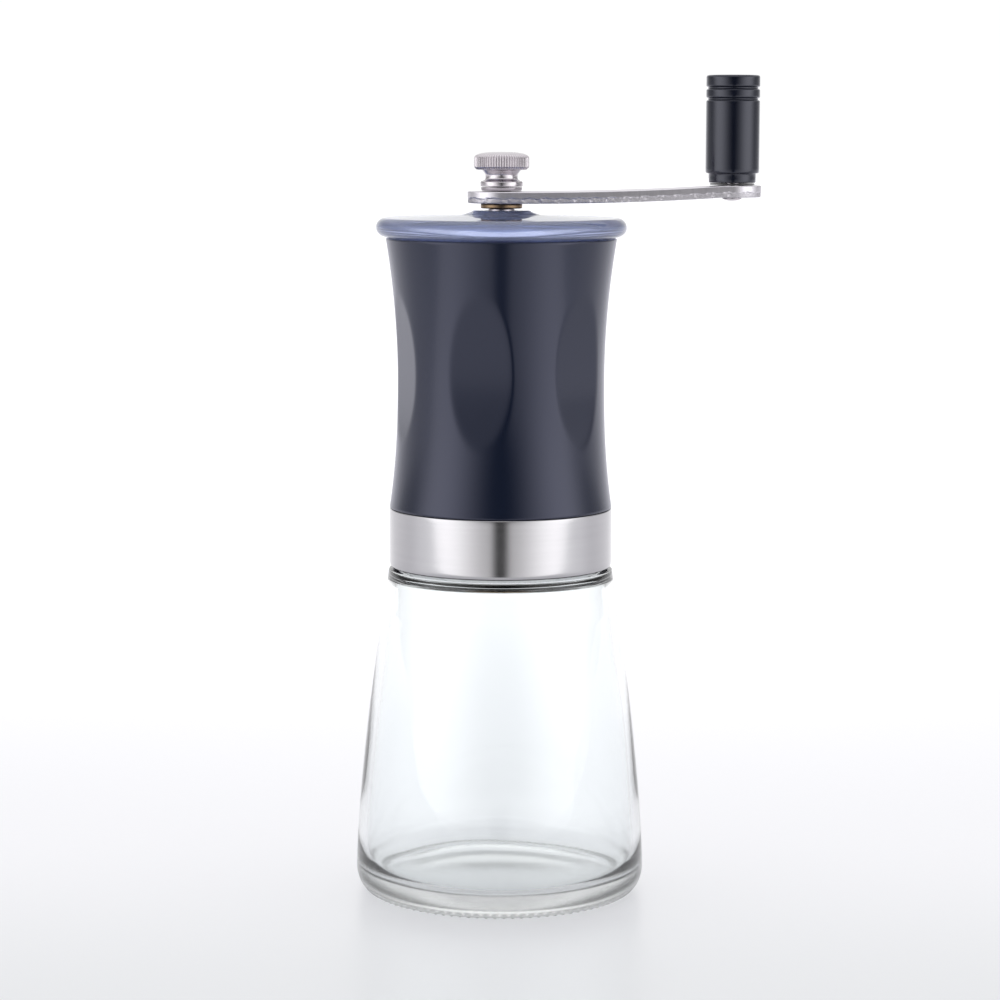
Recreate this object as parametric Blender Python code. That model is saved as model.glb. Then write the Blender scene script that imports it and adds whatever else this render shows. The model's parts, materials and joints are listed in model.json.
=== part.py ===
"""Hand crank coffee grinder with a screw-on glass jar.

A flared glass jar carries a waisted black body on a jar thread. The body holds the hopper, two bearing
bridges and a ceramic burr set. A vertical shaft, cranked from the top, turns the inner burr. Metres, +Z up,
the axis of the grinder is the Z axis, and the jar stands on z = 0. The crank points along +X.
"""

import math

import bmesh
import bpy

# ---------------------------------------------------------------------------------------------------------
# Clearances
GAP = 0.0003            # radial gap between pieces that fit in one another
SEAT = 0.0002           # axial gap between pieces that rest on one another
RUN = 0.0002            # radial gap of a running fit
LIFT = 0.0005           # gap between the upper unit and the jar's shoulder

# Roundness of turned pieces: number of flats
LARGE = 32
MEDIUM = 26
SMALL = 16
TINY = 12

# Jar
JAR_BODY_HEIGHT = 0.0880    # from the table to the flat shoulder
JAR_BASE_R = 0.0389
JAR_FOOT_R = 0.0347         # outer edge of the flat underside
JAR_HEEL = 0.0070           # height of the rounded heel
JAR_FLARE = 1.45            # how early the wall flares: 1 is a straight cone
JAR_WALL = 0.0026
JAR_FLOOR = 0.0060
JAR_INNER_HEEL = 0.0050
JAR_INNER_SHOULDER = 0.0040
JAR_SHOULDER_ROUND = 0.0018
JAR_SHOULDER_STEP = 0.0004  # how far the shoulder stands out past the steel band
NECK_R = 0.0239
NECK_WALL = 0.0025
NECK_HEIGHT = 0.0130
NECK_LIP = 0.0008           # rounding of the neck's rim

# Jar thread, right-handed
THREAD_PITCH = 0.0040
THREAD_DEPTH = 0.0013
THREAD_BEAD = 0.0014        # axial height of a bead at its root
THREAD_TURNS = 1.25
THREAD_CLEARANCE = 0.0004
THREAD_START = 0.0034       # from the shoulder to the middle of the first bead

# Gasket and jar collar
GASKET_THICKNESS = 0.0017
COLLAR_WALL = 0.0013
COLLAR_FLOOR = 0.0025       # thickness of the floor that the burr housing is screwed to
COLLAR_RISE = 0.0023        # how far the collar's wall stands up past its floor

# Steel band and body shell
SKIRT_WALL = 0.0015
BAND_WALL = 0.0008
BAND_HEIGHT = 0.0160
BAND_ROUND = 0.0012         # rounding of the band's lower edge
BODY_HEIGHT = 0.0720
BODY_TOP_R = 0.0309
WAIST_R = 0.02762
WAIST_SHARE = 0.472         # height of the waist, as a share of the body's height
WAIST_UPPER_POWER = 2.0
WAIST_LOWER_POWER = 2.35
BODY_EDGE = 0.0005          # chamfer of the body's mouth
SHELL_WALL = 0.0013         # thinnest wall, behind a grip dimple
MOUTH_WALL = 0.0024
MOUTH_DEPTH = 0.0082        # from the body's top to the ledge that carries the hopper

# Grip dimples: six scoops, flat across and hollow up and down
DIMPLE_COUNT = 6
DIMPLE_FIRST_DEG = -101.5   # direction of the first dimple, from +X
DIMPLE_DEPTH = 0.00128
DIMPLE_RADIUS = 0.0950      # radius of the scoop, up and down
DIMPLE_REACH = 0.0240       # half the height of the cutter
DIMPLE_RISE = 0.0018        # height of a dimple's middle above the waist

# Burr set
OUTER_BURR_R = 0.0175
OUTER_BURR_HEIGHT = 0.0130
BURR_SLOPE = 0.55           # how much both burrs widen per unit of depth in the grinding zone
BURR_GAP = 0.0008           # horizontal gap between the burrs at the coarsest setting
BURR_THROAT_R = 0.0116      # narrowest bore of the outer burr
BURR_ZONE = 0.0064          # depth of the grinding zone
BURR_ENTRY_R = 0.0138       # bore of the outer burr at its top
INNER_BURR_HEIGHT = 0.0124
INNER_BURR_TOP_R = 0.0066
BURR_TEETH = 18
BURR_TOOTH_DEPTH = 0.0005
BURR_TWIST_DEG = 24.0
ADJUST_TRAVEL = 0.0008      # how far the inner burr rises from coarse to fine

# Burr housing, its screws and the burr driver
HOUSING_WALL = 0.0013
HOUSING_FLANGE = 0.0020
HOUSING_LIP = 0.0015
LIP_OVERLAP = 0.0011        # how far a lip reaches under or over the outer burr
SCREW_COUNT = 3
SCREW_CIRCLE_R = 0.0216
SCREW_R = 0.0009
SCREW_HEAD_R = 0.0016
SCREW_HEAD_HEIGHT = 0.0012
SCREW_SLOT = 0.0005
DRIVER_R = 0.0052
DRIVER_FLATS = 0.0084
DRIVER_FLANGE_R = 0.0105
DRIVER_FLANGE = 0.0015
DRIVER_RISE = 0.0008        # how far the driver stands up past the inner burr
CLICK_PLATE_R = 0.0082
CLICK_PLATE = 0.0008
CLICKS = 12
ADJUST_NUT_R = 0.0096
ADJUST_NUT_HEIGHT = 0.0040
ADJUST_NUT_LOBES = 8
ADJUST_NUT_LOBE = 0.0009

# Bearing bridges, bushes and hopper
BRIDGE_ARMS = 3
BRIDGE_ARM_WIDTH = 0.0032
BRIDGE_FLANGE = 0.0020
BRIDGE_WALL = 0.0013
LOWER_BRIDGE_HEIGHT = 0.0145
LOWER_ARM_HEIGHT = 0.0040
UPPER_RING_WIDTH = 0.0038
UPPER_RING_HEIGHT = 0.0022
UPPER_ARM_HEIGHT = 0.0030
HUB_WALL = 0.0016
HUB_BELOW = 0.0020          # how far a hub reaches below its arms
HUB_ABOVE = 0.0006
BUSH_WALL = 0.0014
BUSH_FLANGE = 0.0008
HOPPER_WALL = 0.0015
HOPPER_FLANGE = 0.0015
HOPPER_THROAT_R = 0.0170
HOPPER_CONE = 0.0255        # height of the hopper's cone
HOPPER_FOOT = 0.0015

# Shaft and spring
SHAFT_R = 0.0035
SHAFT_LOWER_R = 0.0030
SHAFT_LOWER_FLATS = 0.0046
SHAFT_SQUARE = 0.0049
SHAFT_THREAD_R = 0.0024
SHAFT_THREAD = 0.0072
SHAFT_END = 0.0034          # length of the shaft inside the adjusting nut
SHAFT_COLLAR_R = 0.0054
SHAFT_COLLAR = 0.0026
SQUARE_GAP = 0.00025
SPRING_WIRE_R = 0.00045
SPRING_TURNS = 4.0
SPRING_SEAT_R = 0.0052
WASHER = 0.0006

# Lid
LID_R = 0.0334
LID_RIM = 0.0050            # height of the bullnose rim
LID_PLATE = 0.0024
LID_CROWN = 0.0007          # how far the top plate rises from the rim to the boss
LID_SPIGOT = 0.0028
LID_SPIGOT_WALL = 0.0019
BOSS_ROOT_R = 0.0104
BOSS_TOP_R = 0.0075
BOSS_HEIGHT = 0.0013
BOSS_HOLLOW_R = 0.0064
LID_BORE_GAP = 0.0008

# Crank
RING_R = 0.0056
RING_HEIGHT = 0.0012
CRANK_RADIUS = 0.0612       # from the shaft to the knob
HUB_R = 0.00905
TIP_R = 0.0077
ARM_THICKNESS = 0.0031
ARM_RISE = 0.00175          # how far the arm's tip stands above its hub
ARM_BEND_END = 0.0027       # from the end of the bend to the knob's axis
ARM_BEND_POWER = 2.3
ARM_EDGE = 0.00025          # chamfer of the arm's upper and lower edges

# Thumb nut and its captive washer
NUT_THREAD_GAP = 0.0003
NUT_WASHER_R = 0.00565
NUT_WASHER = 0.0009
NUT_COLLAR = 0.0012
NUT_NECK_R = 0.0045
NUT_NECK = 0.0014           # straight height of the neck
NUT_FLARE = 0.0012
NUT_HEAD_R = 0.0073
NUT_HEAD = 0.0044
NUT_HEAD_CHAMFER = 0.0006
NUT_DOME = 0.0003
NUT_TEETH = 24
NUT_TOOTH = 0.00035
NUT_BORE_END = 0.0010       # free bore past the end of the thread

# Knob and its pin
KNOB_R = 0.00715
KNOB_HEIGHT = 0.0258
KNOB_FOOT_R = 0.00625
KNOB_FOOT = 0.0025
KNOB_EDGE = 0.0005
GROOVE_DEPTH = 0.0006
GROOVE_HALF = 0.00055
GROOVE_DEPTHS = (0.0034, 0.0067)    # from the knob's top to the middle of each groove
KNOB_CAP_R = 0.0049
KNOB_CAP = 0.0019
KNOB_CAP_SINK = 0.0002
KNOB_CHAMBER_R = 0.0044
KNOB_CHAMBER = 0.0096       # from the knob's top to the floor of the chamber that holds the clip
PIN_R = 0.0020
PIN_HEAD_R = 0.0026
PIN_HEAD = 0.0008
PIN_PAST_CLIP = 0.0010
CLIP_R = 0.0036
CLIP = 0.0007

# ---------------------------------------------------------------------------------------------------------
# Levels and radii that follow from the sizes above
NECK_TOP = JAR_BODY_HEIGHT + NECK_HEIGHT
NECK_BORE_R = NECK_R - NECK_WALL
THREAD_R = NECK_R + THREAD_DEPTH
COLLAR_BORE_R = THREAD_R + THREAD_CLEARANCE
COLLAR_R = COLLAR_BORE_R + COLLAR_WALL
SKIRT_BORE_R = COLLAR_R + GAP
SKIRT_R = SKIRT_BORE_R + SKIRT_WALL
BAND_BORE_R = SKIRT_R + GAP
BAND_R = BAND_BORE_R + BAND_WALL
JAR_SHOULDER_R = BAND_R + JAR_SHOULDER_STEP

BAND_FOOT = JAR_BODY_HEIGHT + LIFT
BODY_FOOT = BAND_FOOT + BAND_HEIGHT
BODY_TOP = BODY_FOOT + BODY_HEIGHT
WAIST_Z = BODY_FOOT + WAIST_SHARE * BODY_HEIGHT
DIMPLE_FLAT_R = WAIST_R - DIMPLE_DEPTH
SHELL_BORE_R = DIMPLE_FLAT_R - SHELL_WALL
MOUTH_R = BODY_TOP_R - MOUTH_WALL
LEDGE = BODY_TOP - MOUTH_DEPTH

GASKET_FOOT = NECK_TOP + SEAT
COLLAR_FLOOR_FOOT = GASKET_FOOT + GASKET_THICKNESS + SEAT
COLLAR_FLOOR_TOP = COLLAR_FLOOR_FOOT + COLLAR_FLOOR
COLLAR_TOP = COLLAR_FLOOR_TOP + COLLAR_RISE
HOUSING_BORE_R = OUTER_BURR_R + GAP
HOUSING_R = HOUSING_BORE_R + HOUSING_WALL
COLLAR_OPENING_R = HOUSING_R + GAP
HOUSING_FLANGE_FOOT = COLLAR_FLOOR_TOP + SEAT
HOUSING_TOP = HOUSING_FLANGE_FOOT + HOUSING_FLANGE
OUTER_BURR_TOP = HOUSING_TOP - SEAT
OUTER_BURR_FOOT = OUTER_BURR_TOP - OUTER_BURR_HEIGHT
HOUSING_FOOT = OUTER_BURR_FOOT - SEAT - HOUSING_LIP
LIP_R = OUTER_BURR_R - LIP_OVERLAP
INNER_UNIT_R = SHELL_BORE_R - GAP

INNER_BURR_FOOT = OUTER_BURR_FOOT - ADJUST_TRAVEL
INNER_BURR_TOP = INNER_BURR_FOOT + INNER_BURR_HEIGHT
DRIVER_FLANGE_TOP = INNER_BURR_FOOT - SEAT
DRIVER_FOOT = DRIVER_FLANGE_TOP - DRIVER_FLANGE
DRIVER_TOP = INNER_BURR_TOP + DRIVER_RISE
CLICK_TOP = DRIVER_FOOT - SEAT
CLICK_FOOT = CLICK_TOP - CLICK_PLATE
ADJUST_NUT_TOP = CLICK_FOOT - SEAT
ADJUST_NUT_FOOT = ADJUST_NUT_TOP - ADJUST_NUT_HEIGHT
SHAFT_FOOT = ADJUST_NUT_TOP - SHAFT_END

LOWER_BRIDGE_FOOT = HOUSING_TOP + SEAT
LOWER_BRIDGE_TOP = LOWER_BRIDGE_FOOT + LOWER_BRIDGE_HEIGHT
LOWER_HUB_FOOT = LOWER_BRIDGE_TOP - LOWER_ARM_HEIGHT - HUB_BELOW
HOPPER_BOTTOM = LOWER_BRIDGE_TOP + HUB_ABOVE + BUSH_FLANGE + 2 * SEAT
UPPER_RING_FOOT = LEDGE + SEAT + HOPPER_FLANGE + SEAT
UPPER_ARM_TOP = UPPER_RING_FOOT + UPPER_ARM_HEIGHT
UPPER_HUB_FOOT = UPPER_RING_FOOT - HUB_BELOW
UPPER_HUB_TOP = UPPER_ARM_TOP + HUB_ABOVE
BUSH_BORE_R = SHAFT_R + RUN
BUSH_R = BUSH_BORE_R + BUSH_WALL
HUB_BORE_R = BUSH_R + GAP
BRIDGE_HUB_R = HUB_BORE_R + HUB_WALL
BUSH_FLANGE_R = HUB_BORE_R + HUB_WALL / 2
SHAFT_COLLAR_FOOT = UPPER_HUB_TOP + SEAT + BUSH_FLANGE + SEAT

SPRING_WASHER_TOP = LOWER_HUB_FOOT - BUSH_FLANGE - 2 * SEAT
SPRING_WASHER_FOOT = SPRING_WASHER_TOP - WASHER
SPRING_FOOT = DRIVER_TOP + SEAT
SPRING_TOP = SPRING_WASHER_FOOT - SEAT
SPRING_R = SPRING_SEAT_R - SPRING_WIRE_R

LID_FOOT = BODY_TOP + GAP
LID_RIM_TOP = LID_FOOT + LID_RIM
LID_PLATE_TOP = LID_RIM_TOP + LID_CROWN
BOSS_TOP = LID_PLATE_TOP + BOSS_HEIGHT
LID_SPIGOT_R = MOUTH_R - GAP
LID_BORE_R = SHAFT_R + LID_BORE_GAP

SHAFT_SHOULDER = BOSS_TOP + GAP
RING_FOOT = SHAFT_SHOULDER + SEAT
RING_TOP = RING_FOOT + RING_HEIGHT
ARM_FOOT = RING_TOP + SEAT
ARM_TOP = ARM_FOOT + ARM_THICKNESS
PAD_TOP = ARM_TOP + ARM_RISE
NUT_WASHER_FOOT = ARM_TOP + SEAT
NUT_FOOT = NUT_WASHER_FOOT + NUT_WASHER + SEAT
NUT_NECK_FOOT = NUT_FOOT + NUT_COLLAR + NUT_FLARE
NUT_HEAD_FOOT = NUT_NECK_FOOT + NUT_NECK + NUT_FLARE / 2
NUT_HEAD_TOP = NUT_HEAD_FOOT + NUT_HEAD
SHAFT_SQUARE_TOP = ARM_TOP
SHAFT_TOP = SHAFT_SQUARE_TOP + SHAFT_THREAD
NUT_BORE_R = SHAFT_THREAD_R + NUT_THREAD_GAP

KNOB_WASHER_FOOT = PAD_TOP + SEAT
KNOB_WASHER = WASHER / 2
KNOB_BOTTOM = KNOB_WASHER_FOOT + KNOB_WASHER + SEAT
KNOB_TOP = KNOB_BOTTOM + KNOB_FOOT + KNOB_HEIGHT
CHAMBER_FLOOR = KNOB_TOP - KNOB_CHAMBER
CLIP_FOOT = CHAMBER_FLOOR + SEAT
PIN_BORE_R = PIN_R + GAP
PIN_HEAD_TOP = PAD_TOP - ARM_THICKNESS - SEAT
PIN_TOP = CLIP_FOOT + CLIP + PIN_PAST_CLIP
KNOB_PLACE = (CRANK_RADIUS, 0.0, 0.0)

# ---------------------------------------------------------------------------------------------------------
# Finishes: base colour, roughness, metallic, transmission
FINISHES = {
    "clear_glass": ((0.93, 0.97, 0.97), 0.02, 0.0, 1.0),
    "tinted_acrylic": ((0.74, 0.78, 0.93), 0.04, 0.0, 1.0),
    "black_plastic": ((0.020, 0.024, 0.036), 0.34, 0.0, 0.0),
    "dark_plastic": ((0.035, 0.036, 0.040), 0.55, 0.0, 0.0),
    "acetal": ((0.80, 0.80, 0.78), 0.45, 0.0, 0.0),
    "ceramic": ((0.86, 0.85, 0.82), 0.42, 0.0, 0.0),
    "silicone": ((0.62, 0.63, 0.64), 0.70, 0.0, 0.0),
    "brushed_steel": ((0.60, 0.60, 0.61), 0.30, 1.0, 0.0),
    "turned_steel": ((0.58, 0.57, 0.57), 0.24, 1.0, 0.0),
    "spring_steel": ((0.42, 0.42, 0.43), 0.35, 1.0, 0.0),
    "brass": ((0.72, 0.53, 0.24), 0.26, 1.0, 0.0),
    "anodised_black": ((0.012, 0.013, 0.018), 0.30, 0.0, 0.0),
}


def finish(name):
    """The finish's material, made the first time that it is asked for."""
    made = bpy.data.materials.get(name)
    if made:
        return made
    colour, roughness, metallic, transmission = FINISHES[name]
    made = bpy.data.materials.new(name)
    made.use_nodes = True
    shader = made.node_tree.nodes["Principled BSDF"]
    shader.inputs["Base Color"].default_value = (*colour, 1.0)
    shader.inputs["Roughness"].default_value = roughness
    shader.inputs["Metallic"].default_value = metallic
    shader.inputs["Transmission Weight"].default_value = transmission
    return made


def place(name, bm, finish_name, origin=(0.0, 0.0, 0.0)):
    """Turns the bmesh into a named object with its finish, shaded smooth but for its sharp edges."""
    bmesh.ops.recalc_face_normals(bm, faces=bm.faces)
    mesh = bpy.data.meshes.new(name)
    bm.to_mesh(mesh)
    bm.free()
    mesh.materials.append(finish(finish_name))
    mesh.shade_smooth()
    mesh.set_sharp_from_angle(angle=math.radians(35))
    made = bpy.data.objects.new(name, mesh)
    made.location = origin
    bpy.context.scene.collection.objects.link(made)
    return made


def helper(made):
    """Marks an object as a cutter or an addition, which is no piece of its own."""
    made.hide_render = True
    made.display_type = "WIRE"
    return made


def combine(target, other, operation):
    """Adds the other object to the target, or cuts it away, by a live Boolean."""
    modifier = target.modifiers.new(f"{operation.lower()}_{other.name}"[:60], "BOOLEAN")
    modifier.operation = operation
    modifier.solver = "EXACT"
    modifier.object = helper(other)
    return target


def cut(target, other):
    return combine(target, other, "DIFFERENCE")


def add(target, other):
    return combine(target, other, "UNION")


# ---------------------------------------------------------------------------------------------------------
# Shapes
def arc(centre_r, centre_z, radius, start_deg, end_deg, points):
    """Points on an arc in the (radius, z) plane, ends included."""
    found = []
    for i in range(points):
        angle = math.radians(start_deg + (end_deg - start_deg) * i / (points - 1))
        found.append((centre_r + radius * math.cos(angle), centre_z + radius * math.sin(angle)))
    return found


def spun(outline, steps):
    """A closed bmesh: the (radius, z) outline turned about Z. Ends on the axis stay open there."""
    bm = bmesh.new()
    verts = [bm.verts.new((radius, 0.0, z)) for radius, z in outline]
    on_axis = outline[0][0] == 0 and outline[-1][0] == 0
    ends = verts[1:] if on_axis else verts[1:] + verts[:1]
    edges = [bm.edges.new(pair) for pair in zip(verts, ends)]
    bmesh.ops.spin(
        bm, geom=verts + edges, cent=(0, 0, 0), axis=(0, 0, 1), angle=2 * math.pi,
        steps=steps, use_merge=True, use_duplicate=False,
    )
    bmesh.ops.remove_doubles(bm, verts=bm.verts, dist=1e-7)
    return bm


def turned(name, outline, finish_name, steps=SMALL, origin=(0.0, 0.0, 0.0)):
    """A lathe-turned piece."""
    return place(name, spun(outline, steps), finish_name, origin)


def tube(name, bore, radius, foot, top, finish_name, steps=SMALL, origin=(0.0, 0.0, 0.0)):
    """A plain ring or tube."""
    outline = [(radius, top), (radius, foot), (bore, foot), (bore, top)]
    return turned(name, outline, finish_name, steps, origin)


def rod(name, radius, foot, top, finish_name, steps=SMALL, origin=(0.0, 0.0, 0.0)):
    """A plain round bar."""
    return turned(name, [(0, top), (radius, top), (radius, foot), (0, foot)], finish_name, steps, origin)


def extruded(name, outline, foot, top, finish_name, origin=(0.0, 0.0, 0.0)):
    """A flat (x, y) outline drawn up from foot to top."""
    bm = bmesh.new()
    face = bm.faces.new([bm.verts.new((x, y, foot)) for x, y in outline])
    grown = bmesh.ops.extrude_face_region(bm, geom=[face])["geom"]
    raised = [item for item in grown if isinstance(item, bmesh.types.BMVert)]
    bmesh.ops.translate(bm, verts=raised, vec=(0, 0, top - foot))
    return place(name, bm, finish_name, origin)


def box_outline(x0, x1, y0, y1):
    return [(x0, y0), (x1, y0), (x1, y1), (x0, y1)]


def double_d_outline(radius, across, points=8):
    """A circle with two flats, square to Y."""
    half = math.asin(across / 2 / radius)
    found = []
    for middle in (0.0, math.pi):
        for i in range(points):
            angle = middle - half + 2 * half * i / (points - 1)
            found.append((radius * math.cos(angle), radius * math.sin(angle)))
    return found


def lobed_outline(radius, depth, lobes, per_lobe):
    """A circle with rounded lobes: per_lobe points on each."""
    found = []
    count = lobes * per_lobe
    for i in range(count):
        angle = 2 * math.pi * i / count
        r = radius - depth * (1 - math.cos(lobes * angle)) / 2
        found.append((r * math.cos(angle), r * math.sin(angle)))
    return found


def thread_bead(name, root_r, crest_r, first_z, finish_name):
    """A helical bead of the jar thread. Its ends sink into the wall that it stands on."""
    stations = int(THREAD_TURNS * 32) + 1
    run_out = 3
    bm = bmesh.new()
    rings = []
    for i in range(stations):
        share = min(1.0, i / run_out, (stations - 1 - i) / run_out)
        crest = root_r + (crest_r - root_r) * (0.12 + 0.88 * share)
        angle = 2 * math.pi * THREAD_TURNS * i / (stations - 1)
        z = first_z + THREAD_PITCH * angle / (2 * math.pi)
        corners = [(root_r, -0.5), (crest, -0.28), (crest, 0.28), (root_r, 0.5)]
        rings.append([
            bm.verts.new((r * math.cos(angle), r * math.sin(angle), z + THREAD_BEAD * half))
            for r, half in corners
        ])
    for low, high in zip(rings, rings[1:]):
        for k in range(4):
            bm.faces.new((low[k], low[k - 1], high[k - 1], high[k]))
    bm.faces.new(rings[0])
    bm.faces.new(rings[-1][::-1])
    return place(name, bm, finish_name)


def fluted(name, outline, toothed, finish_name, outward):
    """A turned burr. Points of the outline in toothed get slanting teeth, cut in or out of the surface."""
    bm = spun(outline, BURR_TEETH * 2)
    levels = {(round(r, 7), round(z, 7)) for r, z in toothed}
    foot = min(z for _, z in outline)
    for vert in bm.verts:
        radius = math.hypot(vert.co.x, vert.co.y)
        if (round(radius, 7), round(vert.co.z, 7)) not in levels:
            continue
        angle = math.atan2(vert.co.y, vert.co.x)
        tooth = round(angle / math.pi * BURR_TEETH) % 2
        twist = math.radians(BURR_TWIST_DEG) * (vert.co.z - foot) / OUTER_BURR_HEIGHT
        reach = radius + (1 if outward else -1) * BURR_TOOTH_DEPTH * tooth
        turn = angle + twist
        vert.co = (reach * math.cos(turn), reach * math.sin(turn), vert.co.z)
    return place(name, bm, finish_name)


# ---------------------------------------------------------------------------------------------------------
# Jar and its seal
def jar_wall_r(z):
    """Outer radius of the jar's flared wall."""
    top = JAR_BODY_HEIGHT - JAR_SHOULDER_ROUND
    share = (top - z) / (top - JAR_HEEL)
    return JAR_SHOULDER_R + (JAR_BASE_R - JAR_SHOULDER_R) * (1 - max(0.0, 1 - share) ** JAR_FLARE)


def make_jar():
    top = JAR_BODY_HEIGHT - JAR_SHOULDER_ROUND
    wall_levels = [top - (top - JAR_HEEL) * i / 6 for i in range(7)]
    heel_width = JAR_BASE_R - JAR_FOOT_R
    outline = [(NECK_BORE_R, NECK_TOP), (NECK_R - NECK_LIP, NECK_TOP), (NECK_R, NECK_TOP - NECK_LIP)]
    outline += [(NECK_R, JAR_BODY_HEIGHT)]
    outline += [(JAR_SHOULDER_R - JAR_SHOULDER_ROUND, JAR_BODY_HEIGHT)]
    outline += [(JAR_SHOULDER_R - 0.3 * JAR_SHOULDER_ROUND, JAR_BODY_HEIGHT - 0.3 * JAR_SHOULDER_ROUND)]
    outline += [(jar_wall_r(z), z) for z in wall_levels]
    for degrees in (30, 60, 90):
        angle = math.radians(degrees)
        reach = JAR_FOOT_R + heel_width * math.cos(angle)
        outline.append((reach, JAR_HEEL * (1 - math.sin(angle))))
    outline += [(0, 0), (0, JAR_FLOOR)]
    inner_foot_r = jar_wall_r(JAR_FLOOR + JAR_INNER_HEEL) - JAR_WALL
    outline += arc(
        inner_foot_r - JAR_INNER_HEEL, JAR_FLOOR + JAR_INNER_HEEL, JAR_INNER_HEEL, -90, 0, 4
    )
    ceiling = JAR_BODY_HEIGHT - JAR_WALL
    inner_foot = JAR_FLOOR + JAR_INNER_HEEL
    inner_height = ceiling - JAR_INNER_SHOULDER - inner_foot
    inner_levels = [inner_foot + inner_height * i / 4 for i in (1, 2, 3, 4)]
    outline += [(jar_wall_r(z) - JAR_WALL, z) for z in inner_levels]
    shoulder_r = outline[-1][0]
    outline.append((shoulder_r - 0.3 * JAR_INNER_SHOULDER, ceiling - 0.3 * JAR_INNER_SHOULDER))
    outline += [(shoulder_r - JAR_INNER_SHOULDER, ceiling), (NECK_BORE_R, JAR_BODY_HEIGHT)]
    # The outline starts and ends off the axis here, so it is turned from its two points on the axis.
    start = outline.index((0, JAR_FLOOR))
    jar = turned("jar", outline[start:] + outline[:start], "clear_glass", LARGE)
    bead = thread_bead(
        "jar_thread", NECK_R - GAP, THREAD_R, JAR_BODY_HEIGHT + THREAD_START, "clear_glass"
    )
    return add(jar, bead)


def make_gasket():
    return tube(
        "jar_gasket", NECK_BORE_R, COLLAR_BORE_R - THREAD_CLEARANCE,
        GASKET_FOOT, GASKET_FOOT + GASKET_THICKNESS, "silicone", MEDIUM,
    )


# ---------------------------------------------------------------------------------------------------------
# Casing: collar, band, shell, hopper
def screw_places():
    """Centres of the housing screws, halfway between the arms of the bridges."""
    for i in range(SCREW_COUNT):
        angle = 2 * math.pi * (i + 0.5) / SCREW_COUNT
        yield SCREW_CIRCLE_R * math.cos(angle), SCREW_CIRCLE_R * math.sin(angle)


def drill_screw_holes(target, foot, top):
    for i, (x, y) in enumerate(screw_places(), 1):
        name = f"{target.name}_screw_hole_{i}"
        cut(target, rod(name, SCREW_R + GAP, foot - 0.001, top + 0.001, "dark_plastic", TINY, (x, y, 0)))


def make_collar():
    outline = [
        (COLLAR_R, COLLAR_TOP), (COLLAR_R, BAND_FOOT), (COLLAR_BORE_R, BAND_FOOT),
        (COLLAR_BORE_R, COLLAR_FLOOR_FOOT), (COLLAR_OPENING_R, COLLAR_FLOOR_FOOT),
        (COLLAR_OPENING_R, COLLAR_FLOOR_TOP), (COLLAR_BORE_R, COLLAR_FLOOR_TOP), (COLLAR_BORE_R, COLLAR_TOP),
    ]
    collar = turned("jar_collar", outline, "dark_plastic", LARGE)
    bead = thread_bead(
        "collar_thread", COLLAR_BORE_R + GAP, NECK_R + THREAD_CLEARANCE,
        JAR_BODY_HEIGHT + THREAD_START + THREAD_PITCH / 2, "dark_plastic",
    )
    add(collar, bead)
    drill_screw_holes(collar, COLLAR_FLOOR_FOOT, COLLAR_FLOOR_TOP)
    return collar


def make_band():
    outline = [(BAND_R, BODY_FOOT - SEAT)]
    outline += arc(BAND_R - BAND_ROUND, BAND_FOOT + BAND_ROUND, BAND_ROUND, 0, -70, 4)
    outline += [(BAND_BORE_R, BAND_FOOT), (BAND_BORE_R, BODY_FOOT - SEAT)]
    return turned("steel_band", outline, "brushed_steel", LARGE)


def body_r(z):
    """Outer radius of the waisted body."""
    if z > WAIST_Z:
        share = (z - WAIST_Z) / (BODY_TOP - WAIST_Z)
        return WAIST_R + (BODY_TOP_R - WAIST_R) * share ** WAIST_UPPER_POWER
    share = (WAIST_Z - z) / (WAIST_Z - BODY_FOOT)
    return WAIST_R + (BAND_R - WAIST_R) * share ** WAIST_LOWER_POWER


def dimple_cutter(index):
    """A scoop: flat across, with a large radius up and down."""
    middle = WAIST_Z + DIMPLE_RISE
    outer = max(BODY_TOP_R, BAND_R) + 0.006
    points = 13
    outline = []
    for i in range(points):
        up = DIMPLE_REACH * (2 * i / (points - 1) - 1)
        sink = DIMPLE_RADIUS - math.sqrt(DIMPLE_RADIUS ** 2 - up ** 2)
        outline.append((DIMPLE_FLAT_R + sink, middle + up))
    outline += [(outer, middle + DIMPLE_REACH), (outer, middle - DIMPLE_REACH)]
    bm = bmesh.new()
    width = 0.6 * WAIST_R
    face = bm.faces.new([bm.verts.new((reach, -width, z)) for reach, z in outline])
    grown = bmesh.ops.extrude_face_region(bm, geom=[face])["geom"]
    moved = [item for item in grown if isinstance(item, bmesh.types.BMVert)]
    bmesh.ops.translate(bm, verts=moved, vec=(0, 2 * width, 0))
    cutter = place(f"dimple_cutter_{index}", bm, "black_plastic")
    cutter.rotation_euler.z = math.radians(DIMPLE_FIRST_DEG + 360 * index / DIMPLE_COUNT)
    return cutter


def make_shell():
    levels = [BODY_TOP - BODY_EDGE - (BODY_HEIGHT - BODY_EDGE) * i / 10 for i in range(11)]
    outline = [(MOUTH_R, BODY_TOP), (BODY_TOP_R - BODY_EDGE, BODY_TOP)]
    outline += [(body_r(z), z) for z in levels]
    outline += [(SKIRT_R, BODY_FOOT), (SKIRT_R, BAND_FOOT), (SKIRT_BORE_R, BAND_FOOT)]
    outline += [(SKIRT_BORE_R, COLLAR_TOP + GAP), (SHELL_BORE_R, COLLAR_TOP + GAP)]
    outline += [(SHELL_BORE_R, LEDGE), (MOUTH_R, LEDGE)]
    shell = turned("body_shell", outline, "black_plastic", LARGE)
    for i in range(DIMPLE_COUNT):
        cut(shell, dimple_cutter(i))
    return shell


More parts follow.
